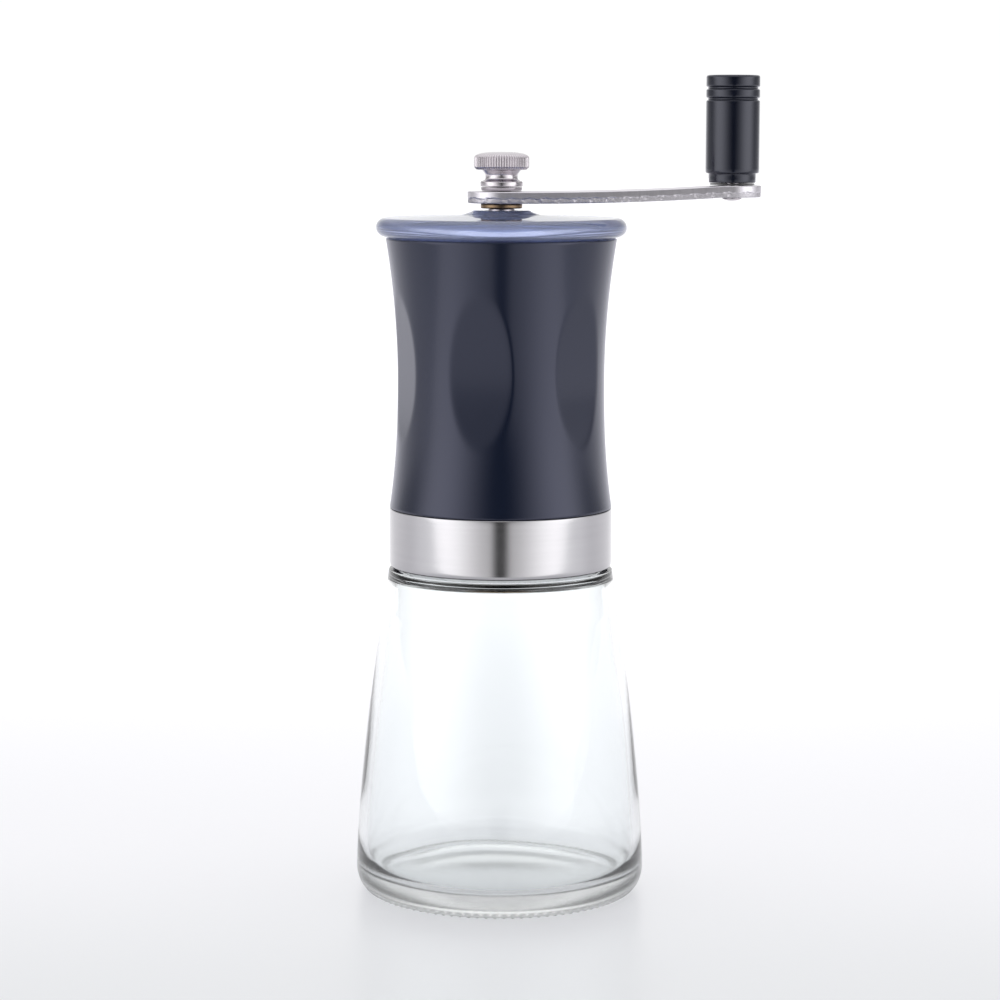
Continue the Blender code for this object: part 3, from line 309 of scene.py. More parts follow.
@dataclass(frozen=True)
class Lathed:
    """Turned or brushed metal: fine lines round the axis, with uneven gloss."""

    name: str
    colour: Colour
    roughness: float
    lines: float = 5200.0
    depth: float = 0.000006
    sweep: float = 1.3
    spread: float = 0.16
    metallic: float = 1.0
    centre_x: float = 0.0
    coat: float = 0.0
    tint: Colour = (1.0, 1.0, 1.0)
    coat_roughness: float = 0.1
    spots: float = 160.0

    def paint(self) -> bpy.types.Material:
        """Builds the material."""
        graph = Graph(self.name)
        drawn = graph.round_place(self.sweep, self.lines, self.centre_x)
        fine = graph.noise(drawn, 1.0, 3.0, 0.65)
        broad = graph.noise(graph.round_place(self.sweep * 0.6, self.lines / 9, self.centre_x), 1.0, 2.0)
        spots = graph.noise(graph.place(), self.spots, 3.0)
        graph.set(
            Base_Color=graph.mix(fine * 0.6 + broad * 0.4, shaded(self.colour, 0.86), self.colour),
            Roughness=self.roughness + (fine - 0.5) * self.spread + (spots - 0.5) * 0.06,
            Metallic=self.metallic,
            Coat_Weight=self.coat,
            Coat_Roughness=self.coat_roughness,
            Specular_Tint=self.tint,
            Coat_Tint=self.tint,
        )
        graph.bump(fine, 0.35, self.depth)
        return graph.material


@dataclass(frozen=True)
class ClearBody:
    """Glass or clear acrylic: a body tint, slight waves from its mould, and dust-fine haze.

    Where lines isn't 0, half of the waves beyond the radius lines_from are lines round the Z axis, that
    many to a metre. Below the height grain_top the mould's grain blurs the piece, by a roughness of up to
    grain. Clarity is the share of the light that is let through.
    """

    name: str
    colour: Colour
    refraction: float
    wave: float
    wave_depth: float
    lines: float = 0.0
    lines_from: float = 0.0345
    lines_blend: float = 0.002
    grain_top: float = 0.0
    grain: float = 0.20
    haze: float = 0.012
    clarity: float = 1.0

    def paint(self) -> bpy.types.Material:
        """Builds the material."""
        graph = Graph(self.name)
        where = graph.place()
        waves = graph.noise(where, self.wave, 2.0, 0.4)
        x, y, height = graph.axes()
        if self.lines:
            share = (x * x + y * y).root().ramp(self.lines_from, self.lines_from + self.lines_blend) * 0.5
            drawn = graph.noise(graph.round_place(1.6, self.lines), 1.0, 2.0)
            waves = waves * (1.0 - share) + drawn * share
        roughness = graph.noise(where, 420.0, 4.0) * self.haze
        if self.grain_top:
            roughness = roughness + height.ramp(self.grain_top, self.grain_top * 0.25) * self.grain
        graph.set(
            Base_Color=graph.mix(waves, self.colour, shaded(self.colour, 1.0, 0.015)),
            Roughness=roughness,
            Transmission_Weight=self.clarity,
            IOR=self.refraction,
        )
        graph.bump(waves, 0.6, self.wave_depth)
        return graph.material


@dataclass(frozen=True)
class ShearedStrip:
    """Blanked steel strip: brushed along its faces, with a torn lower part on its edges."""

    name: str
    colour: Colour
    foot: float
    thickness: float
    rise: float
    bend_end: float
    power: float
    torn_share: float = 0.42
    roughness: float = 0.33

    def paint(self) -> bpy.types.Material:
        """Builds the material. The torn part is found from the height above the bent underside."""
        graph = Graph(self.name)
        x, y, z = graph.axes()
        bent = (x / self.bend_end).at_least(0.0).at_most(1.0) ** self.power * self.rise
        level = (z - bent - self.foot) / self.thickness
        brushed = graph.noise(graph.vector(x * 90.0, y * 5200.0, z * 900.0), 1.0, 3.0, 0.6)
        drawn = graph.noise(graph.vector(x * 2600.0, y * 2600.0, z * 160.0), 1.0, 2.0, 0.6)
        grit = graph.noise(graph.vector(x * 1500.0, y * 1500.0, z * 2300.0), 1.0, 4.0, 0.7)
        border = (grit - 0.5) * 0.22
        _, _, upward = graph.parts(graph.node("ShaderNodeNewGeometry", {}, {}, "Normal"))
        side = (1.0 - upward * upward).ramp(0.75, 0.95)
        torn = (level + border).ramp(self.torn_share, self.torn_share - 0.06) * side
        worn = graph.noise(graph.place(), 120.0, 3.0)
        smooth = brushed * (1.0 - side) + drawn * side
        height = smooth * (1.0 - torn) * 0.25 + grit * torn
        shade = grit * torn * 0.75 + (1.0 - smooth) * 0.25
        graph.set(
            Base_Color=graph.mix(shade, self.colour, shaded(self.colour, 0.62)),
            Roughness=self.roughness + torn * 0.15 + (smooth - 0.5) * 0.14 + (worn - 0.5) * 0.06,
            Metallic=1.0,
        )
        graph.bump(height, 0.55, 0.00006)
        return graph.material


@dataclass(frozen=True)
class Ceramic:
    """Unglazed ceramic: dense, dull, with faint specks."""

    name: str
    colour: Colour
    roughness: float = 0.42

    def paint(self) -> bpy.types.Material:
        """Builds the material."""
        graph = Graph(self.name)
        where = graph.place()
        specks = graph.noise(where, 1400.0, 5.0, 0.75).ramp(0.58, 0.72)
        body = graph.noise(where, 90.0, 3.0)
        graph.set(
            Base_Color=graph.mix(specks * 0.5 + (1.0 - body) * 0.2, self.colour, shaded(self.colour, 0.8)),
            Roughness=self.roughness + (body - 0.5) * 0.12 + specks * 0.1,
        )
        graph.bump(graph.noise(where, 2400.0, 3.0), 0.3, 0.00002)
        return graph.material


class Finish(Enum):
    """The grinder's finishes, by the record's material slots."""

    GLASS = "clear_glass"
    ACRYLIC = "tinted_acrylic"
    BODY = "black_plastic"
    MOULDED = "dark_plastic"
    ACETAL = "acetal"
    CERAMIC = "ceramic"
    SILICONE = "silicone"
    BAND = "brushed_steel"
    ARM = "crank_steel"
    TURNED = "turned_steel"
    SPRING = "spring_steel"
    BRASS = "brass"
    KNOB = "anodised_black"


class Paintbox:
    """Makes each finish once, and dresses pieces with it."""

    def __init__(self, arm: "CrankSizes") -> None:
        """Prepares the recipes. The sheared strip needs the arm's bend."""
        foot = float(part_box("crank_arm")[0][2])
        recipes = {
            Finish.GLASS: ClearBody("jar_glass", (0.965, 0.985, 0.992), 1.45, 26.0, 0.0003, grain_top=0.014),
            Finish.ACRYLIC: ClearBody(
                "lid_acrylic", (0.47, 0.53, 0.78), 1.49, 60.0, 0.00014, lines=1900.0, clarity=0.80,
            ),
            Finish.BODY: Moulded(
                "satin_black", (0.0006, 0.0036, 0.0125), 0.24, coat=0.25, clouding=0.03,
                tint=(0.76, 0.77, 1.0), shine=0.55,
            ),
            Finish.MOULDED: Moulded("moulded_black", (0.022, 0.023, 0.027), 0.52, 1500.0, 0.00003),
            Finish.ACETAL: Moulded("bearing_white", (0.74, 0.74, 0.71), 0.42, 1800.0, 0.00002),
            Finish.CERAMIC: Ceramic("burr_ceramic", (0.84, 0.82, 0.78)),
            Finish.SILICONE: Moulded("seal_silicone", (0.55, 0.57, 0.58), 0.62, 900.0, 0.00003),
            Finish.BAND: Lathed("band_steel", (0.53, 0.52, 0.54), 0.17, 9000.0, 0.000004, 0.9, 0.08),
            Finish.ARM: ShearedStrip(
                "strip_steel", (0.655, 0.632, 0.675), foot, arm.thickness, arm.rise,
                arm.bend_end, arm.bend_power,
            ),
            Finish.TURNED: Lathed("bright_steel", (0.59, 0.552, 0.585), 0.24, 6500.0, 0.000006),
            Finish.SPRING: Lathed("wire_steel", (0.40, 0.40, 0.41), 0.32, 2600.0, 0.000010, 6.0),
            # Brass kept dark: partly its own tone, partly painted shade for the drive ring under the arm; the
            # nut and collar share it.
            Finish.BRASS: Lathed("turned_brass", (0.24, 0.165, 0.10), 0.26, 6500.0, 0.000008),
            Finish.KNOB: Lathed(
                "knob_black", (0.0015, 0.003, 0.009), 0.20, 4200.0, 0.000005, 1.0, 0.08, 0.0,
                arm.length, 0.35, (0.86, 0.87, 1.0),
            ),
        }
        self.made = {finish: recipe.paint() for finish, recipe in recipes.items()}

    def dress(self, piece: bpy.types.Object, finish: Finish) -> None:
        """Gives a piece its finish."""
        piece.data.materials.clear()
        piece.data.materials.append(self.made[finish])

    def turn(
        self, name: str, profile: Array, steps: int, place: tuple[str, str], finish: Finish,
        warp: Warp | None = None, centre_x: float = 0.0,
    ) -> None:
        """Makes a turned piece, seats it and dresses it.

        Args:
            name: the piece's name.
            profile: (radius, height) points, as lathe takes them.
            steps: how many angles.
            place: the body that it rides on, and the CAD node that it stands for.
            finish: its finish.
            warp: its warp, if it isn't round.
            centre_x: where its axis stands along X.
        """
        self.dress(seat(lathe(name, profile, steps, warp, centre_x), *place), finish)

    def repaint_nodes(self, frame: dict) -> None:
        """Gives every CAD node the finish of its slot, as the record states it."""
        slots = {part["node"]: part["material_slot"] for part in frame["record"]["subparts"]}
        for name, node in frame["nodes"].items():
            material = self.made[Finish(slots[name])]
            if not node.material_slots:
                node.data.materials.append(material)
            for holder in node.material_slots:
                holder.material = material


# ---------------------------------------------------------------------------------------------------------
# Surfaces
def rounded(corners: Sequence[tuple[float, float, float]], closed: bool = True, per: int = 5) -> Array:
    """A profile whose corners are rounded off.

    Each corner is replaced by a quadratic curve, from its rounding before it to its rounding after it,
    which never takes more than 0.48 of a side.

    Args:
        corners: (radius, height, rounding) of each corner, the rounding as a length along its sides.
        closed: whether the profile returns to its first corner.
        per: points on each rounded corner.

    Returns:
        The profile's points, one per row.
    """
    points = np.array([corner[:2] for corner in corners], float)
    found: list[Array] = []
    share = np.linspace(0, 1, per)[:, None]
    for i, (_, _, rounding) in enumerate(corners):
        here = points[i]
        if rounding == 0 or (not closed and i in (0, len(corners) - 1)):
            found.append(here[None])
            continue
        before, after = points[i - 1] - here, points[(i + 1) % len(points)] - here
        sides = np.linalg.norm(before), np.linalg.norm(after)
        start = here + before / sides[0] * min(rounding, 0.48 * sides[0])
        end = here + after / sides[1] * min(rounding, 0.48 * sides[1])
        found.append((1 - share) ** 2 * start + 2 * share * (1 - share) * here + share**2 * end)
    return np.concatenate(found)


def divided(profile: Array, longest: float, closed: bool = True) -> Array:
    """The profile with points added so that no side is longer than longest."""
    ends = np.roll(profile, -1, axis=0) if closed else profile[1:]
    starts = profile if closed else profile[:-1]
    counts = np.maximum(1, np.ceil(np.linalg.norm(ends - starts, axis=1) / longest)).astype(int)
    which = np.repeat(np.arange(len(counts)), counts)
    step = np.arange(len(which)) - np.repeat(np.cumsum(counts) - counts, counts)
    share = (step / counts[which])[:, None]
    found = starts[which] * (1 - share) + ends[which] * share
    return found if closed else np.concatenate([found, profile[-1:]])


def ring_outline(
    radius: float, bore: float, foot: float, top: float, outer: float, inner: float
) -> Array:
    """The outline of a plain ring.

    Args:
        radius: its outer radius.
        bore: its inner radius.
        foot: the height of its underside.
        top: the height of its upper face.
        outer: the rounding of its outer edges.
        inner: the rounding of its inner edges.

    Returns:
        The outline's points.
    """
    return rounded([(radius, foot, outer), (radius, top, outer), (bore, top, inner), (bore, foot, inner)])


def new_piece(name: str, points: Array, quads: Array, triangles: Array | None = None) -> bpy.types.Object:
    """Puts a surface into a mesh object.

    Args:
        name: the piece's name.
        points: its vertices.
        quads: corner numbers of its four-sided faces.
        triangles: corner numbers of its three-sided faces.

    Returns:
        The object, at the origin and shaded smooth.
    """
    faces = quads.tolist() + ([] if triangles is None else triangles.tolist())
    mesh = bpy.data.meshes.new(name)
    mesh.from_pydata(points.tolist(), [], faces)
    mesh.shade_smooth()
    piece = bpy.data.objects.new(name, mesh)
    bpy.context.scene.collection.objects.link(piece)
    return piece


def wrapped_quads(rows: int, columns: int, wrap_rows: bool) -> Array:
    """Corner numbers of a grid that closes on itself across its columns, and along its rows if asked."""
    count = rows if wrap_rows else rows - 1
    row, column = np.meshgrid(np.arange(count), np.arange(columns), indexing="ij")
    next_row, next_column = (row + 1) % rows, (column + 1) % columns
    corners = [row * columns + column, row * columns + next_column]
    corners += [next_row * columns + next_column, next_row * columns + column]
    return np.stack(corners, axis=-1).reshape(-1, 4)


def lathe(
    name: str, profile: Array, steps: int, warp: Warp | None = None, centre_x: float = 0.0
) -> bpy.types.Object:
    """A surface of revolution: the profile at each of steps angles round Z, its radius and height warped.

    A profile that starts and ends on the axis is open there and is closed by two poles; any other profile
    is a closed loop. Faces point outwards whichever way the profile runs.

    Args:
        name: the piece's name.
        profile: (radius, height) points.
        steps: how many angles.
        warp: gives the new radius and height from (angle, radius, height).
        centre_x: where the axis stands along X.

    Returns:
        The piece.
    """
    poles = profile[0, 0] == 0 and profile[-1, 0] == 0
    following = np.roll(profile, -1, axis=0)
    if float(np.sum(profile[:, 0] * following[:, 1] - following[:, 0] * profile[:, 1])) < 0:
        profile = profile[::-1]
    ring = profile[1:-1] if poles else profile
    angle = np.arange(steps) / steps * TAU
    theta, radius = np.meshgrid(angle, ring[:, 0])
    height = np.repeat(ring[:, 1:], steps, axis=1)
    if warp is not None:
        radius, height = warp(theta, radius, height)
    points = np.stack([centre_x + radius * np.cos(theta), radius * np.sin(theta), height], -1).reshape(-1, 3)
    quads = wrapped_quads(len(ring), steps, not poles)
    if not poles:
        return new_piece(name, points, quads)
    ends = np.array([[centre_x, 0.0, profile[0, 1]], [centre_x, 0.0, profile[-1, 1]]])
    here, after = np.arange(steps), (np.arange(steps) + 1) % steps
    last = (len(ring) - 1) * steps
    low = np.stack([np.full(steps, len(points)), after, here], -1)
    high = np.stack([np.full(steps, len(points) + 1), last + here, last + after], -1)
    return new_piece(name, np.concatenate([points, ends]), quads, np.concatenate([low, high]))


def smooth_step(value: Array, low: float, high: float) -> Array:
    """0 below low, 1 above high, and an S-curve between."""
    share = np.clip((value - low) / (high - low), 0, 1)
    return share * share * (3 - 2 * share)


def from_nearest(theta: Array, count: int) -> Array:
    """The angle from the nearest of count directions, evenly spaced from angle 0."""
    sector = TAU / count
    return (theta + sector / 2) % sector - sector / 2


def flat_sided(theta: Array, radius: Array, half: Array | float, sides: int) -> Array:
    """The radius cut down to flats: sides of them, each half from the axis."""
    return np.minimum(radius, half / np.cos(from_nearest(theta, sides)))


def corners_of(node: str) -> tuple[float, float, float]:
    """A round node's foot, top and largest radius about its own axis, from its CAD box."""
    low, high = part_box(node)
    return float(low[2]), float(high[2]), float(high[1] - low[1]) / 2


def seat(piece: bpy.types.Object, body: str, *nodes: str) -> bpy.types.Object:
    """Rides the piece on a body and lets it stand for CAD nodes."""
    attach(piece, body)
    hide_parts(*nodes)
    log.info("%s: %d faces on %s", piece.name, len(piece.data.polygons), body)
    return piece


# ---------------------------------------------------------------------------------------------------------
# Jar
@dataclass
class Thread:
    """A right-handed thread bead on a wall, as a change of the wall's radius.

    The bead's height falls off as a raised cosine on both sides of a helix, and its ends fade out.
    """

    start: float
    pitch: float = 0.0040
    turns: float = 1.25
    half: float = 0.00085
    depth: float = 0.0013
    fade: float = 0.35

    def height(self, theta: Array, z: Array) -> Array:
        """How far the bead stands out at each point."""
        found = np.zeros_like(z)
        for turn in range(math.ceil(self.turns)):
            travel = theta + TAU * turn
            off = (z - self.start - self.pitch * travel / TAU) / self.half
            bead = np.where(np.abs(off) < 1, 0.5 + 0.5 * np.cos(math.pi * off), 0) ** 0.7
            last = TAU * self.turns
            ends = smooth_step(travel, 0.0, self.fade) * (1 - smooth_step(travel, last - self.fade, last))
            found = np.maximum(found, bead * ends)
        return self.depth * found


@dataclass
class Jar:
    """The flared glass jar: waved walls, a thick base pushed up in the middle, and a stippled foot."""

    wall: float = 0.0026
    shoulder_wall: float = 0.0021
    shoulder_step: float = 0.0004
    shoulder_round: float = 0.0013
    neck_height: float = 0.0130
    neck_r: float = 0.0239
    neck_wall: float = 0.0025
    heel: float = 0.0070
    foot_r: float = 0.0347
    flare: float = 1.45
    floor: float = 0.0054
    bowl: float = 0.0085
    flat_r: float = 0.0250
    push_up: float = 0.0016
    push_up_r: float = 0.0305
    lining_top: float = 0.0760
    bumps: int = 96
    bump_height: float = 0.00045
    bump_pitch: float = 0.0022
    bump_start: tuple[float, float] = (0.0308, 0.0318)
    bump_end: tuple[float, float] = (0.0372, 0.0380)
    bump_middle: float = 0.0335
    bump_top: float = 0.0040
    wave: float = 0.00005
    thread_start: float = 0.0034

    def __post_init__(self) -> None:
        """Reads the jar's height and width from the frame."""
        _, self.top, self.base_r = corners_of("jar")
        self.shoulder = self.top - self.neck_height
        self.thread = Thread(self.shoulder + self.thread_start)
        self.shoulder_r = float(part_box("steel_band")[1][0]) + self.shoulder_step

    def wall_r(self, z: Array) -> Array:
        """Outer radius of the flare: the shoulder's plus a share that grows fastest at the top."""
        top = self.shoulder - self.shoulder_round
        share = np.clip((top - z) / (top - self.heel), 0, 1)
        return self.shoulder_r + (self.base_r - self.shoulder_r) * (1 - (1 - share) ** self.flare)

    def profile(self) -> Array:
        """The glass's outline, from the middle of the underside round to the middle of the floor."""
        top = self.shoulder - self.shoulder_round
        flare_z = np.linspace(self.heel, top, 40)
        heel_turn = np.radians(np.linspace(-90, 0, 14))
        heel = np.stack([
            self.foot_r + (self.base_r - self.foot_r) * np.cos(heel_turn),
            self.heel * (1 + np.sin(heel_turn)),
        ], -1)
        under_r = np.linspace(0, self.push_up_r, 24)
        under = np.stack([under_r, self.push_up * np.cos(under_r / self.push_up_r * math.pi / 2) ** 2], -1)
        standing = np.array([[self.push_up_r, 0.0], [self.foot_r - 0.0004, 0.0]])
        under = np.concatenate([under[:-1], divided(standing, 0.0006, False)])
        outer = np.stack([self.wall_r(flare_z), flare_z], -1)[1:]
        neck_bore = self.neck_r - self.neck_wall
        neck = rounded([
            (self.shoulder_r, top, 0), (self.shoulder_r - 0.0001, self.shoulder, self.shoulder_round),
            (self.neck_r, self.shoulder, 0.0004), (self.neck_r, self.top, 0.0009),
            (neck_bore, self.top, 0.0009), (neck_bore, self.shoulder - 0.0008, 0.0025),
            (self.shoulder_r - self.wall, self.shoulder - self.shoulder_wall, 0.0018),
            (self.wall_r(np.array(self.lining_top)) - self.wall, self.lining_top, 0),
        ], closed=False, per=6)
        inner_z = np.linspace(self.lining_top - 0.0010, self.floor + self.bowl, 30)
        inner = np.stack([self.wall_r(inner_z) - self.wall, inner_z], -1)
        bowl_turn = np.radians(np.linspace(0, 90, 24))[1:]
        reach = float(inner[-1, 0]) - self.flat_r
        bowl = np.stack([
            self.flat_r + reach * np.cos(bowl_turn) ** 0.55,
            self.floor + self.bowl * (1 - np.sin(bowl_turn) ** 0.55),
        ], -1)
        bowl = np.concatenate([bowl, [[self.flat_r * 0.5, self.floor], [0.0, self.floor]]])
        return np.concatenate([
            under, heel[1:], outer, divided(neck[1:], 0.00055, False), inner, bowl,
        ])

    def warp(self, theta: Array, radius: Array, z: Array) -> tuple[Array, Array]:
        """Waves in the walls, thread bead on the neck, bumps on the foot.

        Both walls' radii change by a sum of slow sines of angle and height, the outer one's less, and only
        inwards. Under the foot, bumps are a product of two cosines, one of the angle and one of the radius.
        """
        slow = np.sin(3 * theta + 70 * z) + 0.7 * np.sin(5 * theta - 110 * z + 1.0)
        slow = slow + 0.5 * np.sin(190 * z + 2 * theta)
        inside = (z > self.floor + self.bowl) & (z < self.shoulder - 0.004)
        inner = radius < self.wall_r(z) - 0.5 * self.wall
        fade = smooth_step(z, self.floor + self.bowl, self.floor + self.bowl + 0.014)
        fade = fade * (1 - smooth_step(z, self.shoulder - 0.02, self.shoulder - 0.004))
        shift = np.where(inner, slow, -0.35 * (1 + slow))
        radius = radius + np.where(inside, self.wave * shift * fade, 0)
        on_neck = (z > self.shoulder + 0.0006) & (radius > self.neck_r - 0.0004)
        radius = radius + np.where(on_neck, self.thread.height(theta, z), 0)
        band = smooth_step(radius, *self.bump_start) * (1 - smooth_step(radius, *self.bump_end))
        rings = np.cos(TAU * (radius - self.bump_middle) / self.bump_pitch)
        ripple = 0.5 + 0.5 * np.cos(self.bumps * theta) * rings
        return radius, z + self.bump_height * band * (z < self.bump_top) * ripple

    def build(self, paints: Paintbox) -> None:
        """Makes the jar."""
        paints.turn("jar_glass_body", self.profile(), self.bumps * 4, ("jar", "jar"), Finish.GLASS, self.warp)


# ---------------------------------------------------------------------------------------------------------
# Casing
@dataclass
class Casing:
    """Jar collar, gasket, steel band and waisted body shell."""

    waist_share: float = 0.472
    waist_r: float = 0.02762
    upper_power: float = 2.0
    lower_power: float = 2.35
    dimples: int = 6
    first_dimple: float = math.radians(-101.5)
    dimple_depth: float = 0.00128
    dimple_radius: float = 0.0950
    dimple_rise: float = 0.0018
    dimple_blend: float = 0.00010
    dimple_reach: float = 0.028
    outer_skin: float = 0.0009
    shell_wall: float = 0.0013
    band_wall: float = 0.0008
    band_round: float = 0.0013

    def __post_init__(self) -> None:
        """Reads the levels and radii of the casing from the frame."""
        self.skirt_foot, self.body_top, self.top_r = corners_of("body_shell")
        self.band_foot, self.band_top, self.band_r = corners_of("steel_band")
        self.body_foot = self.band_top + 0.0002
        self.waist_z = self.body_foot + self.waist_share * (self.body_top - self.body_foot)

    def body_r(self, z: Array) -> Array:
        """Outer radius of the body: the waist's plus a power of the distance above or below it."""
        up = np.clip((z - self.waist_z) / (self.body_top - self.waist_z), 0, 1)
        down = np.clip((self.waist_z - z) / (self.waist_z - self.body_foot), 0, 1)
        above = (self.top_r - self.waist_r) * up**self.upper_power
        return self.waist_r + above + (self.band_r - self.waist_r) * down**self.lower_power

    def dimpled(self, theta: Array, radius: Array, z: Array) -> tuple[Array, Array]:
        """Cuts the grip dimples into the outer wall.

        Each dimple is a scoop: flat across, and a circle of the dimple radius up and down. The wall's
        radius is the soft minimum of its own and of the scoop's, so that the rims are slightly rounded.
        """
        up = z - self.waist_z - self.dimple_rise
        sink = self.dimple_radius - np.sqrt(np.maximum(self.dimple_radius**2 - up**2, 0))
        flat = self.waist_r - self.dimple_depth + sink
        scoop = flat / np.cos(from_nearest(theta - self.first_dimple, self.dimples))
        gap = np.clip((scoop - radius) / self.dimple_blend, -40, 40)
        softer = radius - self.dimple_blend * np.log1p(np.exp(-gap))
        outer = (radius > self.waist_r - self.outer_skin) & (np.abs(up) < self.dimple_reach)
        return np.where(outer, softer, radius), z

    def shell_profile(self) -> Array:
        """The body's outline: waisted outside, stepped inside for the hopper and the collar."""
        bore = self.waist_r - self.dimple_depth - self.shell_wall
        skirt_r = self.band_r - self.band_wall - 0.0003
        skirt_bore = skirt_r - 0.0015
        step = float(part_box("jar_collar")[1][2]) + 0.0003
        mouth = self.top_r - 0.0024
        ledge = float(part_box("hopper")[1][2]) - 0.0017
        levels = np.linspace(self.body_foot + 0.0003, self.body_top - 0.0010, 190)
        outer = np.stack([self.body_r(levels), levels], -1)
        rim = rounded([
            (outer[-1, 0], outer[-1, 1], 0), (self.top_r, self.body_top, 0.0009),
            (mouth, self.body_top, 0.0005), (mouth, ledge, 0.0002), (bore, ledge, 0.0003),
            (bore, step, 0.0003), (skirt_bore, step, 0.0002), (skirt_bore, self.skirt_foot, 0.0004),
            (skirt_r, self.skirt_foot, 0.0004), (skirt_r, self.body_foot, 0.0001),
            (self.band_r - 0.0001, self.body_foot, 0),
        ], closed=False)
        return np.concatenate([outer, divided(rim[1:], 0.004, False)])

    def build(self, paints: Paintbox) -> None:
        """Makes the casing's pieces."""
        place = ("upper_unit", "body_shell")
        paints.turn("waisted_body", self.shell_profile(), 384, place, Finish.BODY, self.dimpled)
        bore = self.band_r - self.band_wall
        band = rounded([
            (self.band_r, self.band_top, 0.00025), (bore, self.band_top, 0.0001),
            (bore, self.band_foot, 0.0001), (self.band_r - 0.0010, self.band_foot, 0.0003),
            (self.band_r, self.band_foot + 0.0003, self.band_round),
        ], per=8)
        paints.turn("band_sleeve", divided(band, 0.0012), 256, ("upper_unit", "steel_band"), Finish.BAND)
        self.build_collar(paints)
        self.build_gasket(paints)

    @staticmethod
    def build_gasket(paints: Paintbox) -> None:
        """Makes the gasket, with a raised lip at both edges of its upper face."""
        foot, top, radius = corners_of("jar_gasket")
        bore = radius - 0.0036
        lip = 0.00025
        gasket = rounded([
            (radius, foot, 0.0003), (radius, top, 0.0003), (radius - 0.0009, top, lip),
            (radius - 0.0013, top - lip, lip), (bore + 0.0013, top - lip, lip), (bore + 0.0009, top, lip),
            (bore, top, 0.0003), (bore, foot, 0.0003),
        ])
        paints.turn("seal_ring", gasket, 160, ("gasket", "jar_gasket"), Finish.SILICONE)

    @staticmethod
    def build_collar(paints: Paintbox) -> None:
        """Makes the threaded collar. Its bead stands inwards from the bore, half a pitch above the jar's."""
        foot, top, radius = corners_of("jar_collar")
        bore = radius - 0.0013
        opening = corners_of("burr_housing")[2] - 0.0053
        floor_top = float(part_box("burr_housing")[0][2]) + 0.0127
        above_shoulder = 0.0005
        thread = Thread(foot - above_shoulder + Jar.thread_start + Thread.pitch / 2)
        profile = divided(rounded([
            (radius, top, 0.0003), (bore, top, 0.0002), (bore, floor_top, 0.0003),
            (opening, floor_top, 0.0003), (opening, floor_top - 0.0025, 0.0003),
            (bore, floor_top - 0.0025, 0.0003), (bore, foot, 0.0005), (radius, foot, 0.0003),
        ]), 0.00040)

        def warp(theta: Array, r: Array, z: Array) -> tuple[Array, Array]:
            """Raises the bead on the bore below the floor."""
            inner = (np.abs(r - bore) < 0.00005) & (z < floor_top - 0.0029)
            return r - np.where(inner, thread.height(theta, z), 0), z

        paints.turn("threaded_collar", profile, 224, ("upper_unit", "jar_collar"), Finish.MOULDED, warp)


